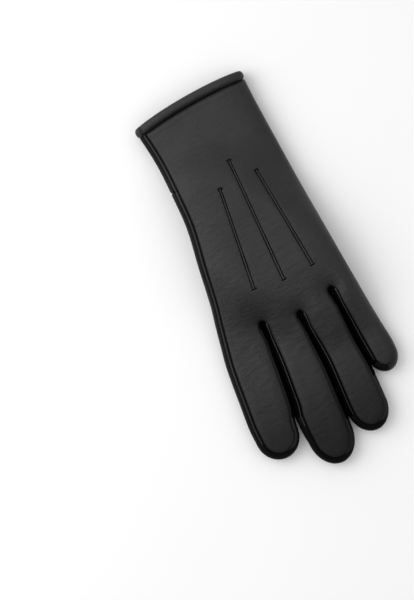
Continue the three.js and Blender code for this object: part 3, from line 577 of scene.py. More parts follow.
def leather_relief(x, y, sizes):
    """Soft wrinkles of worn leather: broad waves, fine cross creases on fingers and the index side."""
    wrinkle = sizes.wrinkle_depth * 1000
    broad = 1.1 * soft_noise(x, y, 26, 3) + 0.5 * soft_noise(x, y, 11, 4)
    warp = 5 * soft_noise(x, y, 17, 5)
    cross = np.abs(soft_noise(x * 0.35 + warp * 0.2, y + warp, 3.1, 6)) ** 0.8
    on_fingers = finger_share(y)
    index_side = smoothstep(26, 6, x - hand_edge("left", y)) * (1 - on_fingers)
    creased = np.clip(0.35 + 0.65 * on_fingers + 0.5 * index_side, 0, 1)
    return wrinkle * (broad - 0.9 * cross * creased)


def seam_shape(t, seam, sizes):
    """Height near a sewn edge at a distance in from it: a rolled lip, then padded leather."""
    roll = sizes.seam_depth * 1000
    pad = PAD * (t / PAD_AT) * np.exp(1 - t / PAD_AT)
    return seam * (-roll * np.exp(-((t / ROLL_REACH) ** 1.6)) + pad)


def welt_shape(t, seam, raised, sizes):
    """The same on a side strip: a deeper groove, and the turned edge that stands up as a thin welt."""
    roll = sizes.seam_depth * 1000
    behind = BEHIND_WELT_DEPTH * bump(t - WELT_AT - BEHIND_WELT, BEHIND_WELT_WIDTH)
    welt = WELT * bump(t - WELT_AT, WELT_WIDTH) - behind
    return seam * (-roll * bump(t, WELT_ROLL_REACH) + raised * welt)


class Skin:
    """Grids of outer points that become one mesh."""

    def __init__(self):
        self.points = []
        self.faces = []
        self.finishes = []
        self.count = 0

    def grid(self, points, facing, finishes=None):
        """Drapes rows and columns of flat points, with their faces turned along the given vectors."""
        points = draped(points)
        rows, columns = points.shape[:2]
        numbers = self.count + np.arange(rows * columns).reshape(rows, columns)
        quads = np.stack([numbers[:-1, :-1], numbers[:-1, 1:], numbers[1:, 1:], numbers[1:, :-1]], -1)
        a = points[:-1, 1:] - points[:-1, :-1]
        b = points[1:, :-1] - points[:-1, :-1]
        if (np.cross(a, b) * facing[:-1, :-1]).sum() < 0:
            quads = quads[..., ::-1]
        self.points.append(points.reshape(-1, 3))
        self.faces.append(quads.reshape(-1, 4))
        if finishes is None:
            finishes = np.zeros((rows - 1, columns - 1))
        self.finishes.append(finishes.astype(int).ravel())
        self.count += rows * columns

    def object(self, name, finishes=SKIN_FINISHES, wall=WALL):
        """One welded mesh with a wall of even thickness: outer leather, lining inside."""
        piece = mesh_object(name, np.vstack(self.points), np.vstack(self.faces).tolist(), *finishes)
        piece.data.polygons.foreach_set("material_index", np.concatenate(self.finishes))
        weld = piece.modifiers.new("Weld", "WELD")
        weld.merge_threshold = 2e-5
        add_wall(piece, wall)
        return piece


def add_object(name, data):
    piece = bpy.data.objects.new(name, data)
    bpy.context.collection.objects.link(piece)
    return piece


def mesh_object(name, points, faces, *finishes):
    """An object in the scene, made from points in metres, faces and the names of its finishes."""
    mesh = bpy.data.meshes.new(name)
    mesh.from_pydata(points.tolist(), [], faces)
    for kind in finishes:
        mesh.materials.append(finish(kind))
    return add_object(name, mesh)


def ring_faces(rings, sides, closed=False):
    """Faces between rings of points, each with the same number of sides."""
    faces = []
    for r in range(rings if closed else rings - 1):
        for c in range(sides):
            n, d = (r + 1) % rings, (c + 1) % sides
            faces.append((r * sides + c, n * sides + c, n * sides + d, r * sides + d))
    return faces


def add_wall(piece, wall):
    """Gives an open skin its wall in millimetres, with the last finish on the inside."""
    skin = piece.modifiers.new("Wall", "SOLIDIFY")
    skin.thickness = wall / 1000
    skin.offset = -1
    skin.material_offset = len(piece.data.materials) - 1
    bpy.ops.object.select_all(action="DESELECT")
    piece.select_set(True)
    bpy.context.view_layer.objects.active = piece
    bpy.ops.object.convert(target="MESH")
    piece.data.shade_smooth()


def panel_points(plan, face, sizes):
    """Flat points and normals of the back (+1) or the palm (-1) at plan points, with all their relief."""
    palm = face < 0
    shape = plan.shape[:2]
    x, y = plan.reshape(-1, 2).T
    depth, gx, gy, rim, seam, run = depth_at(x, y)
    z, side, up = rise(depth, half_at(y), round_at(x, y, face))
    t = np.maximum(depth - rim, 0)
    fade = smoothstep(0, 5, t)
    wrapped = (not palm) & (gx < -0.5) & (x > np.where(y < 0, SLITS[-1]["base"] + 8, 0))
    relief = seam_shape(t, seam * np.where(wrapped, 0, 1), sizes) + fade * leather_relief(x, y, sizes)
    tips = tip_nearness(x, y)
    wave = np.cos(2 * math.pi * run / PUCKER_LENGTH)
    relief = relief + PUCKER * tips * wave * np.exp(-t / PUCKER_REACH) * smoothstep(0, 0.8, t)
    end = leather_end(x) - y
    tucked = TUCK * np.exp(-((np.maximum(end, 0) / TUCK_REACH) ** 1.5))
    relief = relief - tucked * lerp(0.35, 1, smoothstep(0, 4, t)) + LIP * bump(end - LIP_AT, LIP_WIDTH)
    if palm:
        z = z - palm_folds(x, y)
        resting = lift_at(x, y) < 0.3
        relief = relief * np.where(resting, 0.4, 1.0)
    else:
        for point in POINTS:
            share, off, length = along_line(x, y, point)
            within = smoothstep(-2.5, 1.5, share * length) * smoothstep(-2.5, 1.5, (1 - share) * length)
            relief = relief - POINT_DIP * within * bump(off, POINT_DIP_WIDTH)
    nx, ny, nz = -gx * side, -gy * side, face * up
    points = np.column_stack([x + nx * relief, y + ny * relief, face * z + nz * relief])
    if palm:
        points[:, 2] = np.maximum(points[:, 2], -half_at(y) - lift_at(x, y))
    normals = np.column_stack([nx, ny, nz])
    return points.reshape(*shape, 3), normals.reshape(*shape, 3)


def tip_nearness(x, y):
    """1 round the fingertips and 0 elsewhere."""
    near = np.zeros(len(x))
    for i in range(4):
        tip_y, left, right = tip_edges(i)
        inside = (x > left - 3) & (x < right + 3)
        near = np.maximum(near, inside * smoothstep(tip_y + 6, tip_y - 4, y))
    return near


def blended(first, last, left, right):
    """Plan points inside four edges that meet at their ends."""
    v = np.linspace(0, 1, len(left))[:, None, None]
    u = np.linspace(0, 1, len(first))[None, :, None]
    ruled = lerp(first[None], last[None], v) + lerp(left[:, None], right[:, None], u)
    corners = lerp(lerp(first[0], first[-1], u), lerp(last[0], last[-1], u), v)
    return ruled - corners


def seam_points(rows):
    return rows[:, :2] - rows[:, 2:4] * rows[:, 4:5]


def panel_skin(face, sizes):
    """The back or the palm: a patch for each finger and one for the hand."""
    skin = Skin()
    knuckles = []
    for i in range(4):
        left, right = (seam_points(finger_stations(i, side)) for side in OUTWARD)
        u = np.linspace(0, 1, FINGER_COLUMNS + 1)
        base = lerp(left[0], right[0], u[:, None]) + np.outer(np.sin(math.pi * u), [0, KNUCKLE_ARCH])
        plan = blended(base, seam_points(tip_row(i)), left, right)
        skin.grid(*panel_points(plan, face, sizes))
        knuckles.append(base if i == 0 else base[1:])
    knuckles = np.vstack(knuckles)
    left, right = (seam_points(hand_stations(side)) for side in OUTWARD)
    u = np.linspace(0, 1, len(knuckles))
    x = lerp(left[-1, 0], right[-1, 0], u)
    missed = lerp(left[-1, 1] - leather_end(left[-1, 0]), right[-1, 1] - leather_end(right[-1, 0]), u)
    cuff = np.column_stack([x, leather_end(x) + missed])
    skin.grid(*panel_points(blended(knuckles, cuff, left, right), face, sizes))
    return skin


def slit_swell(i, side, rows):
    """How far the leather of two fingers swells to meet between them, for one finger's stations."""
    slit = slit_beside(i, side)
    y = rows[:, 1]
    other = finger_edge(i - 1, "right", y) if side == "left" else finger_edge(i + 1, "left", y)
    gap = np.abs(rows[:, 0] - other)
    near = np.where(y > slit["top"] - CROTCH_RADIUS, 2 * CROTCH_RADIUS, gap)
    above = smoothstep(-0.6, -0.5, y / slit["reach"])
    closed = np.maximum(above, smoothstep(0.6, 0.3, near))
    return (near / 2 - 0.04 + 0.16 * smoothstep(2.5, 1.2, near)) * closed


def side_points(rows, back_sewn, palm_sewn, sizes, swell=0.0):
    """The side of the glove round each station, from its palm seam to its back seam."""
    turn = np.linspace(-1, 1, 2 * SIDE_STEPS + 1)[None, :]
    x, y, nx, ny, rim, seam = (rows[:, k : k + 1] for k in range(6))
    depth = rim * np.sin(np.abs(turn) * math.pi / 2) ** 2
    face = np.sign(turn)
    z, side, up = rise(depth, half_at(y), round_at(x, y, face))
    swell = np.reshape(swell, (-1, 1))
    valley = np.minimum(swell / 0.15, 1) * bump(np.abs(turn) - 0.42, 0.2) * (turn > 0)
    out = swell * bump(turn, 0.22) - depth - 1.1 * valley
    points = np.stack(np.broadcast_arrays(x + nx * out, y + ny * out, face * z), -1)
    normals = np.stack(np.broadcast_arrays(nx * side, ny * side, face * up), -1)
    gaps = np.linalg.norm(np.diff(points, axis=1), axis=-1)
    run = np.concatenate([np.zeros((len(rows), 1)), np.cumsum(gaps, 1)], 1)
    from_back = run[:, -1:] - run
    tips = tip_nearness(rows[:, 0], rows[:, 1])[:, None]
    crotch = smoothstep(RIM_CROTCH + 0.9, RIM_CROTCH + 0.2, rim)
    raised = 1 - 0.85 * tips + 1.3 * crotch
    pull = -NOTCH_DEPTH * bump(y - NOTCH * HAND_LENGTH, NOTCH_WIDTH) * (nx < 0) * (y > 0)
    for sewn, distance in ((back_sewn, from_back), (palm_sewn, run)):
        if sewn:
            pull = pull + welt_shape(distance, seam, raised, sizes)
    # Painted shade: strip faces get the darker side leather, and faces where two fingers swell together in a
    # slit get the darkest one; near the back seam, sides facing right keep the plain leather.
    kind = np.where(swell > 0.05, SLIT_PAINTED_SHADE, STRIP_PAINTED_SHADE)
    seen = np.minimum(STRIP_SEEN, 2 * STRIP_SEEN * (nx - 0.3))
    kind = np.where((from_back < seen) | (not back_sewn), LEATHER, kind)
    # Painted highlight: a thin line along the welt's crest gets the lighter, glossier leather.
    welted = ((seam > 0.45) & (nx < 0.3) | (rim < RIM_CROTCH + 0.4)) & (tips < 0.8)
    welt_highlight_band = np.abs(from_back - WELT_AT) < WELT_HIGHLIGHT_HALF
    kind = np.where(back_sewn & welted & welt_highlight_band, WELT_PAINTED_HIGHLIGHT, kind)
    return points + normals * pull[..., None], normals, kind[:-1, :-1]


def strip_stations(i, side):
    """Stations of a strip down one side of a finger to its tip, and a little past it as a lap."""
    over_tip = tip_stations(i, side, np.linspace(TIP_ANGLE, 91.5, 22)[1:])
    return np.vstack([finger_stations(i, side), over_tip])


def at_notch(side):
    """One station at the notch, where the gusset meets the palm's own side."""
    return edge_stations(lambda y: hand_edge(side, y), side, np.array([NOTCH * HAND_LENGTH]), side_rim(side))


def dressed(piece, slot, *nodes):
    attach(piece, "root")
    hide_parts(*nodes)


# Materials


def node_material(name, colour, roughness, specular=0.5):
    """A new material with its node tree and its shader."""
    material = bpy.data.materials.new(name)
    material.use_nodes = True
    tree = material.node_tree
    shader = tree.nodes["Principled BSDF"]
    inputs = {"Base Color": (*colour, 1), "Roughness": roughness, "Specular IOR Level": specular}
    set_inputs(tree, shader, inputs)
    return material, tree, shader


def set_inputs(tree, node, inputs):
    """Gives a node's inputs their values, or links them to the outputs given."""
    for name, value in inputs.items():
        if isinstance(value, bpy.types.NodeSocket):
            tree.links.new(value, node.inputs[name])
        else:
            node.inputs[name].default_value = value


def add_node(tree, kind, inputs, **settings):
    node = tree.nodes.new("ShaderNode" + kind)
    for name, value in settings.items():
        setattr(node, name, value)
    set_inputs(tree, node, inputs)
    return node


def math_node(tree, operation, first, second):
    return add_node(tree, "Math", {0: first, 1: second}, operation=operation).outputs[0]


def map_node(tree, value, before, after, **settings):
    """A value moved from one range to another."""
    ends = {"From Min": before[0], "From Max": before[1], "To Min": after[0], "To Max": after[1]}
    return add_node(tree, "MapRange", {"Value": value, **ends}, **settings).outputs["Result"]


def tone_node(tree, colour, shares, factor):
    """A colour that a noise varies between two shares of itself."""
    ends = {end: (*[c * share for c in colour], 1) for end, share in zip("AB", shares)}
    return add_node(tree, "Mix", {**ends, "Factor": factor}, data_type="RGBA").outputs["Result"]


def leather_material(name, look, lightness, gloss):
    """Soft black nappa: fine pebbled grain, faint creases, a satin finish, with painted shade at the
    fingertips, where its reflection is turned down.
    """
    colour = [c * lightness for c in look.leather_colour]
    roughness = look.leather_roughness
    material, tree, shader = node_material(name, colour, roughness)
    where = add_node(tree, "TexCoord", {}).outputs["Object"]
    size = look.grain_size
    cells = add_node(tree, "TexVoronoi", {"Vector": where, "Scale": 1 / size}, feature="DISTANCE_TO_EDGE")
    pores = add_node(tree, "TexNoise", {"Vector": where, "Scale": 2.6 / size, "Detail": 4})
    stretched = add_node(tree, "Mapping", {"Vector": where, "Scale": (0.3, 1.0, 1.0)}).outputs["Vector"]
    creases = {"Vector": stretched, "Scale": 0.3 / size, "Detail": 6, "Roughness": 0.62}
    creases = add_node(tree, "TexNoise", creases)
    height = math_node(tree, "MINIMUM", cells.outputs["Distance"], 0.18)
    for noise, weight in ((pores, 0.16), (creases, 1.5)):
        height = math_node(tree, "ADD", height, math_node(tree, "MULTIPLY", noise.outputs["Fac"], weight))
    relief = add_node(tree, "Bump", {"Strength": look.grain_strength, "Distance": 0.00035, "Height": height})
    patches = {"Vector": where, "Scale": 0.02 / size, "Detail": 7, "Roughness": 0.72}
    patches = add_node(tree, "TexNoise", patches).outputs["Fac"]
    along = add_node(tree, "SeparateXYZ", {"Vector": where}).outputs["Y"]
    # Painted shade: the reflection fades out towards the fingertips.
    fingers = (-0.125, -0.045)
    tip_shade_gloss = map_node(tree, along, fingers, (0.3 * gloss, gloss), interpolation_type="SMOOTHSTEP")
    set_inputs(tree, shader, {
        "Normal": relief.outputs["Normal"],
        "Roughness": map_node(tree, patches, (0.3, 0.7), (roughness - 0.05, roughness + 0.07)),
        "Base Color": tone_node(tree, colour, (0.8, 1.25), patches),
        "Specular IOR Level": tip_shade_gloss,
    })
    return material


def lining_material(name, look):
    """Brushed knit lining."""
    material, tree, shader = node_material(name, look.lining_colour, 0.95)
    where = add_node(tree, "TexCoord", {}).outputs["Object"]
    knit = add_node(tree, "TexNoise", {"Vector": where, "Scale": 900, "Detail": 5}).outputs["Fac"]
    relief = add_node(tree, "Bump", {"Strength": 0.7, "Distance": 0.0006, "Height": knit})
    set_inputs(tree, shader, {
        "Normal": relief.outputs["Normal"],
        "Base Color": tone_node(tree, look.lining_colour, (0.6, 1.5), knit),
        "Sheen Weight": 0.4,
    })
    return material


def finish(name):
    """A finish made once and shared by the pieces that have it."""
    if name in bpy.data.materials:
        return bpy.data.materials[name]
    look = bpy.context.scene.glove_look
    if name == "knit_lining":
        return lining_material(name, look)
    if name == "thread":
        return node_material(name, [c * 0.3 for c in look.leather_colour], 0.9, 0.06)[0]
    return leather_material(name, look, *LEATHERS[name])


# Sizes and looks that a user would change


class GloveSizes(bpy.types.PropertyGroup):
    seam_depth: bpy.props.FloatProperty(
        name="Seam depth", description="How far sewn edges roll down into their seam",
        default=0.0011, min=0.0, max=0.003, unit="LENGTH", precision=5,
    )
    wrinkle_depth: bpy.props.FloatProperty(
        name="Wrinkle depth", description="Height of the leather's soft wrinkles",
        default=0.0003, min=0.0, max=0.001, unit="LENGTH", precision=5,
    )
    stitch_length: bpy.props.FloatProperty(
        name="Stitch length", description="Length of one stitch on the points and the hem",
        default=0.0021, min=0.001, max=0.005, unit="LENGTH", precision=5,
    )


class GloveLook(bpy.types.PropertyGroup):
    leather_colour: bpy.props.FloatVectorProperty(
        name="Leather", description="Base colour of the leather", subtype="COLOR",
        default=(0.0068, 0.0068, 0.0071), min=0.0, max=1.0,
    )
    lining_colour: bpy.props.FloatVectorProperty(
        name="Lining", description="Base colour of the knit lining", subtype="COLOR",
        default=(0.012, 0.012, 0.013), min=0.0, max=1.0,
    )
    leather_roughness: bpy.props.FloatProperty(
        name="Roughness", description="How matt the leather is", default=0.44, min=0.0, max=1.0,
        subtype="FACTOR",
    )
    grain_size: bpy.props.FloatProperty(
        name="Grain size", description="Width of one grain cell", default=0.0007, min=0.0002, max=0.005,
        unit="LENGTH", precision=5,
    )
    grain_strength: bpy.props.FloatProperty(
        name="Grain strength", description="How strongly the grain shows", default=1.0, min=0.0, max=1.0,
        subtype="FACTOR",
    )


class StageLook(bpy.types.PropertyGroup):
    floor_colour: bpy.props.FloatVectorProperty(
        name="Floor", description="Colour of the floor", subtype="COLOR",
        default=(0.93, 0.93, 0.93), min=0.0, max=1.0,
    )
    world_strength: bpy.props.FloatProperty(
        name="Room light", description="Strength of the soft light of the room", default=1.04, min=0.0,
    )
    key_power: bpy.props.FloatProperty(
        name="Key light", description="Power of the large soft light", default=3.3, min=0.0, unit="POWER",
    )
    camera_height: bpy.props.FloatProperty(
        name="Camera height", description="Height of the camera over the floor", default=1.6, min=0.3,
        unit="LENGTH",
    )


# Pieces


class GLOVE_OT_back_panel(bpy.types.Operator):
    """Make the back of the hand and the fingers, wrapped round the little-finger side"""

    bl_idname = "glove.back_panel"
    bl_label = "Back panel"

    def execute(self, context):
        sizes = context.scene.glove_sizes
        skin = panel_skin(1, sizes)
        tip = tip_row(3)[FINGER_COLUMNS // 2 :]
        little = finger_stations(3, "right")[-2::-1]
        rows = np.vstack([tip, little, hand_stations("right")[1:]])
        skin.grid(*side_points(rows, False, True, sizes))
        dressed(skin.object("back_leather"), "leather", "back_panel")
        return {"FINISHED"}


class GLOVE_OT_palm_panel(bpy.types.Operator):
    """Make the palm side, with its gathered wrist and the opening for the thumb"""

    bl_idname = "glove.palm_panel"
    bl_label = "Palm panel"

    def execute(self, context):
        sizes = context.scene.glove_sizes
        skin = panel_skin(-1, sizes)
        rows = hand_stations("left")
        rows = np.vstack([at_notch("left"), rows[rows[:, 1] > NOTCH * HAND_LENGTH + NOTCH_CLEAR]])
        skin.grid(*side_points(rows, True, False, sizes))
        cut_thumb_hole(skin)
        dressed(skin.object("palm_leather"), "leather", "palm_panel")
        return {"FINISHED"}


def cut_thumb_hole(skin):
    """Leaves out the faces over the thumb's opening and draws the nearest points onto its edge."""
    ring = thumb_rings(WALL, 96)[0, :, :2] / 1000 - np.array([MIDDLE_X, MIDDLE_Y]) / 1000
    centre = ring.mean(0)
    angles = np.arctan2(*(ring - centre).T[::-1])
    radii = np.hypot(*(ring - centre).T)
    for k, points in enumerate(skin.points):
        off = points[:, :2] - centre
        reach = np.hypot(*off.T)
        edge = np.interp(np.arctan2(*off.T[::-1]), angles, radii, period=2 * math.pi)
        inside = (reach < edge) & (points[:, 2] < 0.018)
        near = inside & (reach > edge - 0.0011)
        scale = np.where(near, edge / np.maximum(reach, 1e-9), 1)
        points[:, :2] = centre + off * scale[:, None]
        first = sum(len(p) for p in skin.points[:k])
        kept = ~(inside & ~near)[skin.faces[k] - first].any(1)
        skin.faces[k] = skin.faces[k][kept]
        skin.finishes[k] = skin.finishes[k][kept]


class GLOVE_OT_side_strips(bpy.types.Operator):
    """Make the index gusset and the forks that line the fingers"""

    bl_idname = "glove.side_strips"
    bl_label = "Gusset and forks"

    def execute(self, context):
        sizes = context.scene.glove_sizes
        hand = hand_stations("left")
        hand = hand[hand[:, 1] < NOTCH * HAND_LENGTH - NOTCH_CLEAR][::-1]
        gusset = Skin()
        rows = np.vstack([at_notch("left"), hand, strip_stations(0, "left")[1:]])
        gusset.grid(*side_points(rows, True, True, sizes))
        dressed(gusset.object("gusset_leather"), "side_leather", "index_gusset")
        for i in range(3):
            fork = Skin()
            up = strip_stations(i, "right")[::-1]
            down = strip_stations(i + 1, "left")
            swell = np.concatenate([slit_swell(i, "right", up), slit_swell(i + 1, "left", down)[1:]])
            fork.grid(*side_points(np.vstack([up, down[1:]]), True, True, sizes, swell))
            names = FINGERS[i]["name"] + "_" + FINGERS[i + 1]["name"]
            dressed(fork.object("fork_leather_" + names), "side_leather", "fork_" + names)
        return {"FINISHED"}


def thumb_rings(inset, sides):
    """The thumb's rings, from the opening in the palm down and along the surface to the tip."""
    bend = THUMB_HOLE + THUMB_BEND
    level = math.pi / 2
    angles = np.arange(sides) * 2 * math.pi / sides
    round_x, round_z = (signed_power(wave, 2 / ROUNDNESS) for wave in (np.cos(angles), np.sin(angles)))

    def at(a, z):
        return np.array([*(THUMB_BASE + THUMB_ALONG * a), z])

    def seam_at(t):
        seam = lerp(THUMB_SEAM, THUMB_ACROSS, t)
        return seam / np.hypot(*seam)

    def ring(a, tilt, far, width, seam):
        back = np.array([*(-math.cos(tilt) * THUMB_ALONG), -math.sin(tilt)])
        across = (width / 2 - inset) * round_x
        down = (THUMB_BEND + far) / 2 - ((far - THUMB_BEND) / 2 - inset) * round_z
        return at(a, THUMB_TOP) + across[:, None] * np.array([*seam, 0]) + down[:, None] * back

    rings = []
    for k in range(THUMB_TURN_STEPS + 1):
        tilt = level * k / THUMB_TURN_STEPS
        far = 1 / math.hypot(math.cos(tilt) / bend, math.sin(tilt) / THUMB_TOP)
        width = lerp(THUMB_WIDTH, thumb_width(bend), k / THUMB_TURN_STEPS)
        rings.append(ring(bend, tilt, far, width, seam_at(0.5 * k / THUMB_TURN_STEPS)))
    for k in range(1, THUMB_STEPS + 1):
        a = lerp(bend, THUMB_TIP_START, k / THUMB_STEPS)
        rings.append(ring(a, level, THUMB_TOP, thumb_width(a), seam_at(0.5 + 0.5 * k / THUMB_STEPS)))
    reach = THUMB_TIP_WIDTH / 2 - inset
    middle = at(0, THUMB_THICKNESS / 2)
    whole = ring(0, level, THUMB_TOP, THUMB_TIP_WIDTH, THUMB_ACROSS)
    for past in np.linspace(0, 89, THUMB_TIP_STEPS + 1)[1:]:
        share = math.cos(math.radians(past))
        a = THUMB_TIP_START + reach * math.sin(math.radians(past))
        scale = np.array([share, share, math.sqrt(share)])
        rings.append(at(a, THUMB_THICKNESS / 2) + (whole - middle) * scale)
    rings = np.array(rings)
    rings[..., 2] = np.maximum(rings[..., 2] - THUMB_PRESS, inset)
    return rings


class GLOVE_OT_thumb(bpy.types.Operator):
    """Make the hollow thumb, folded flat under the palm"""

    bl_idname = "glove.thumb"
    bl_label = "Thumb"

    def execute(self, context):
        rings = thumb_rings(0, THUMB_SIDES)
        count = len(rings)
        points = np.vstack([rings.reshape(-1, 3), rings[-1].mean(0)])
        points[:, :2] -= [MIDDLE_X, MIDDLE_Y]
        faces = [face[::-1] for face in ring_faces(count, THUMB_SIDES)]
        last = (count - 1) * THUMB_SIDES
        for c in range(THUMB_SIDES):
            faces.append((last + (c + 1) % THUMB_SIDES, count * THUMB_SIDES, last + c))
        piece = mesh_object("thumb_leather", points / 1000, faces, "nappa", "knit_lining")
        add_wall(piece, WALL)
        dressed(piece, "leather", "thumb")
        return {"FINISHED"}


def hem_half(face):
    """Half of the way round the cuff's opening, from its right end: x, z and the way out."""
    y = HAND_LENGTH - HEM_WIDTH
    left, right = (float(hand_edge(side, y)) for side in OUTWARD)
    half = float(half_at(y))
    steep = np.sin(np.linspace(0, math.pi / 2, HEM_QUARTER + 1)) ** 2
    flat = np.linspace(0, 1, HEM_FLAT)[1:-1]
    ones = np.ones(len(flat))
    reach = float(round_at(left, y, face))
    z, across, up = rise(reach * steep, half, reach)
    corner = np.column_stack([right - reach * steep, z, across, up])
    level = np.column_stack([lerp(right - reach, left + reach, flat), half * ones, 0 * ones, ones])
    far = np.column_stack([left + reach * steep, z, -across, up])[::-1]
    return np.vstack([corner, level, far]) * [1, face, 1, face]


def hem_rings(stitch):
    """The rolled hem's section at each place round the cuff's opening."""
    loop = np.vstack([hem_half(1), hem_half(-1)[::-1][1:-1]])
    x, z, across, up = (loop[:, k : k + 1] for k in range(4))
    run = np.cumsum(np.hypot(*np.diff(loop[:, :2], axis=0, append=loop[:1, :2]).T))
    wave = np.cos(2 * math.pi * round(run[-1] / stitch) * run / run[-1])
    angle = np.arange(HEM_SIDES) * 2 * math.pi / HEM_SIDES
    c, s = np.cos(angle)[None, :], np.sin(angle)[None, :]
    half_thick = (WALL + HEM_PROUD + HEM_EXTRA) / 2
    proud = HEM_PROUD * (1.5 * np.abs(up) - 0.2 + 0.8 * np.maximum(across, 0))
    proud = proud - 1.5 * bump(x - (x.min() + RIM_INDEX_SIDE), 0.6) * (z > 0)
    puff = 0.1 * wave[:, None] * np.clip(-s, 0, 1)
    out = proud - half_thick + half_thick * signed_power(c, 0.95) + puff
    tongue = s < -0.99
    out = np.where(tongue, -TONGUE, out)
    y = cuff_edge(x) + HEM_WIDTH / 2 * (signed_power(s, 0.95) - 1) - TONGUE_ALONG * tongue
    return draped(np.stack([x + across * out, y, z + up * out], -1))


class GLOVE_OT_cuff_hem(bpy.types.Operator):
    """Make the rolled hem round the cuff"""

    bl_idname = "glove.cuff_hem"
    bl_label = "Cuff hem"

    def execute(self, context):
        rings = hem_rings(context.scene.glove_sizes.stitch_length * 1000 * 1.6)
        rings[..., 2] = np.maximum(rings[..., 2], 0)
        faces = ring_faces(len(rings), HEM_SIDES, closed=True)
        piece = mesh_object("hem_leather_roll", rings.reshape(-1, 3), faces, "hem_nappa")
        piece.data.shade_smooth()
        dressed(piece, "hem_leather", "cuff_hem")
        return {"FINISHED"}


def stitched_point(point, sizes):
    """One sewn ridge on the back, with its stitches on both sides and the tacks at its ends."""
    a, way, length = line_ends(point)
    way = way / length
    across = np.array([-way[1], way[0]])
    u = np.linspace(-POINT_EDGE, POINT_EDGE, 41)[None, :]
    v = np.arange(-POINT_PAST, length + POINT_PAST, 0.3)[:, None]
    plan = a + way * v[..., None] + across * u[..., None]
    base = panel_points(plan, 1, sizes)[0][..., 2]
    off = np.abs(u)
    end = np.minimum(v, length - v)
    half = POINT_WIDTH / 2 * lerp(0.74, 0.95, np.clip(v / length, 0, 1))
    ridge = 0.95 * np.exp(-((off / (0.72 * half)) ** 3))
    thread = 0.5 + 0.5 * np.cos(2 * math.pi * v / (sizes.stitch_length * 1000))
    groove = -0.8 * bump(off - half, 0.34) * (0.75 + 0.25 * thread)
    bar = 0.8 * bump(end - TACK_LENGTH / 2, 0.5) * smoothstep(TACK_WIDTH / 2 + 0.3, TACK_WIDTH / 2 - 0.2, off)
    edge = np.minimum(POINT_EDGE - off, end + POINT_PAST)
    sewn_up = smoothstep(-0.2, 0.5, end) * (ridge + groove)
    z = base + 0.06 + np.maximum(sewn_up, bar) - 0.16 * smoothstep(0.7, 0, edge)
    tack = (off < TACK_WIDTH / 2) & (np.abs(end) < TACK_LENGTH / 2)
    sewn = (np.abs(off - half) < STITCH_HALF) & (end > 0) | tack
    # Painted highlight: the top of the ridge gets the lighter, glossier leather.
    ridge_highlight = (off < 0.45 * half) & (end > 0) & ~sewn
    kinds = np.where(ridge_highlight[:-1, :-1], POINT_FINISHES.index("welt_nappa"), 0)
    kinds = np.where(sewn[:-1, :-1] & sewn[1:, 1:], POINT_FINISHES.index("thread"), kinds)
    skin = Skin()
    flat = np.dstack([plan, z])
    skin.grid(flat, np.broadcast_to([0.0, 0.0, 1.0], flat.shape), kinds)
    return skin.object("stitched_point_" + point["name"], POINT_FINISHES, POINT_WALL)


class GLOVE_OT_points(bpy.types.Operator):
    """Make the three stitched points on the back, each with its stitches and bar tacks"""

    bl_idname = "glove.points"
    bl_label = "Stitched points"

    def execute(self, context):
        for point in POINTS:
            piece = stitched_point(point, context.scene.glove_sizes)
            dressed(piece, "leather", "point_" + point["name"])
        return {"FINISHED"}


def light_room(world, strength):
    """A soft dome of light, brightest on the upper left."""
    world.use_nodes = True
    tree = world.node_tree
    way = add_node(tree, "TexCoord", {}).outputs["Generated"]
    brightest = Vector((-0.3, 0.4, 0.9)).normalized()
    lean = add_node(tree, "VectorMath", {0: way, 1: brightest}, operation="DOT_PRODUCT").outputs["Value"]
    ends = (0.2 * strength, strength)
    dome = map_node(tree, lean, (-0.1, 1.0), ends, interpolation_type="SMOOTHSTEP")
    set_inputs(tree, tree.nodes["Background"], {"Strength": dome, "Color": (1, 1, 1, 1)})


def add_light(name, where, width, power):
    """A square light that points at the glove."""
    data = bpy.data.lights.new(name, "AREA")
    data.size = width
    data.energy = power
    light = add_object(name, data)
    light.location = where
    light.rotation_mode = "QUATERNION"
    light.rotation_quaternion = (Vector((0, 0, 0.01)) - Vector(where)).to_track_quat("-Z", "Y")


def add_camera(height):
    """A camera that looks straight down, turned so that the cuff points up and to the left."""
    turn = math.radians(25)
    sensor = 24
    view_height = 0.393
    glove_top = 0.012
    data = bpy.data.cameras.new("camera")
    data.sensor_fit = "VERTICAL"
    data.sensor_height = sensor
    data.sensor_width = sensor
    data.lens = sensor * height / view_height
    up = Vector((math.sin(turn), math.cos(turn), 0))
    right = Vector((math.cos(turn), -math.sin(turn), 0))
    facing = Matrix((right, up, Vector((0, 0, 1)))).transposed().to_4x4()
    camera = add_object("camera", data)
    camera.matrix_world = Matrix.Translation((-0.0442, 0.0032, height + glove_top)) @ facing
    return camera


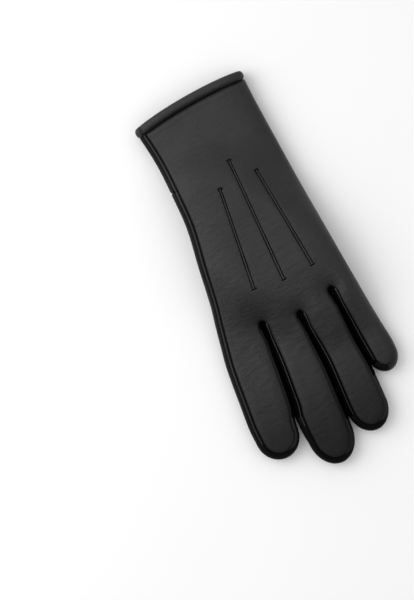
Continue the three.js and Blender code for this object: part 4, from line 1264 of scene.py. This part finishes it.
class GLOVE_OT_stage(bpy.types.Operator):
    """Make the pale floor, the soft studio lights and the camera straight above"""

    bl_idname = "glove.stage"
    bl_label = "Stage"

    def execute(self, context):
        look = context.scene.glove_stage
        size = 6.0
        corners = np.array([(-size, -size, 0), (size, -size, 0), (size, size, 0), (-size, size, 0)])
        floor = mesh_object("floor", corners, [(0, 1, 2, 3)])
        floor.data.materials.append(node_material("pale_floor", look.floor_colour, 0.9, 0.1)[0])
        context.scene.world = bpy.data.worlds.new("studio")
        light_room(context.scene.world, look.world_strength)
        context.scene.view_settings.view_transform = "Standard"
        add_light("key", (-0.5, 0.34, 0.62), 0.7, look.key_power)
        add_light("fill", (1.2, -0.5, 1.0), 1.2, look.key_power * 0.7)
        context.scene.camera = add_camera(look.camera_height)
        return {"FINISHED"}


OPERATORS = (
    GLOVE_OT_back_panel,
    GLOVE_OT_palm_panel,
    GLOVE_OT_side_strips,
    GLOVE_OT_thumb,
    GLOVE_OT_cuff_hem,
    GLOVE_OT_points,
    GLOVE_OT_stage,
)


class GLOVE_PT_panel(bpy.types.Panel):
    """Buttons for each piece, with the sizes and looks that they use"""

    bl_idname = "GLOVE_PT_panel"
    bl_label = "Lined leather glove"
    bl_space_type = "VIEW_3D"
    bl_region_type = "UI"
    bl_category = "Glove"

    def draw(self, context):
        column = self.layout.column()
        for place, kind in GROUPS.items():
            for name in kind.__annotations__:
                column.prop(getattr(context.scene, place), name)
        for operator in OPERATORS:
            column.operator(operator.bl_idname)


GROUPS = {"glove_sizes": GloveSizes, "glove_look": GloveLook, "glove_stage": StageLook}
CLASSES = (*GROUPS.values(), *OPERATORS, GLOVE_PT_panel)


def register():
    for cls in CLASSES:
        bpy.utils.register_class(cls)
    for place, kind in GROUPS.items():
        setattr(bpy.types.Scene, place, bpy.props.PointerProperty(type=kind))


def unregister():
    for place in GROUPS:
        delattr(bpy.types.Scene, place)
    for cls in reversed(CLASSES):
        bpy.utils.unregister_class(cls)


def main():
    register()
    bpy.ops.glove.back_panel()
    bpy.ops.glove.palm_panel()
    bpy.ops.glove.side_strips()
    bpy.ops.glove.thumb()
    bpy.ops.glove.cuff_hem()
    bpy.ops.glove.points()
    bpy.ops.glove.stage()


if __name__ == "__main__":
    main()
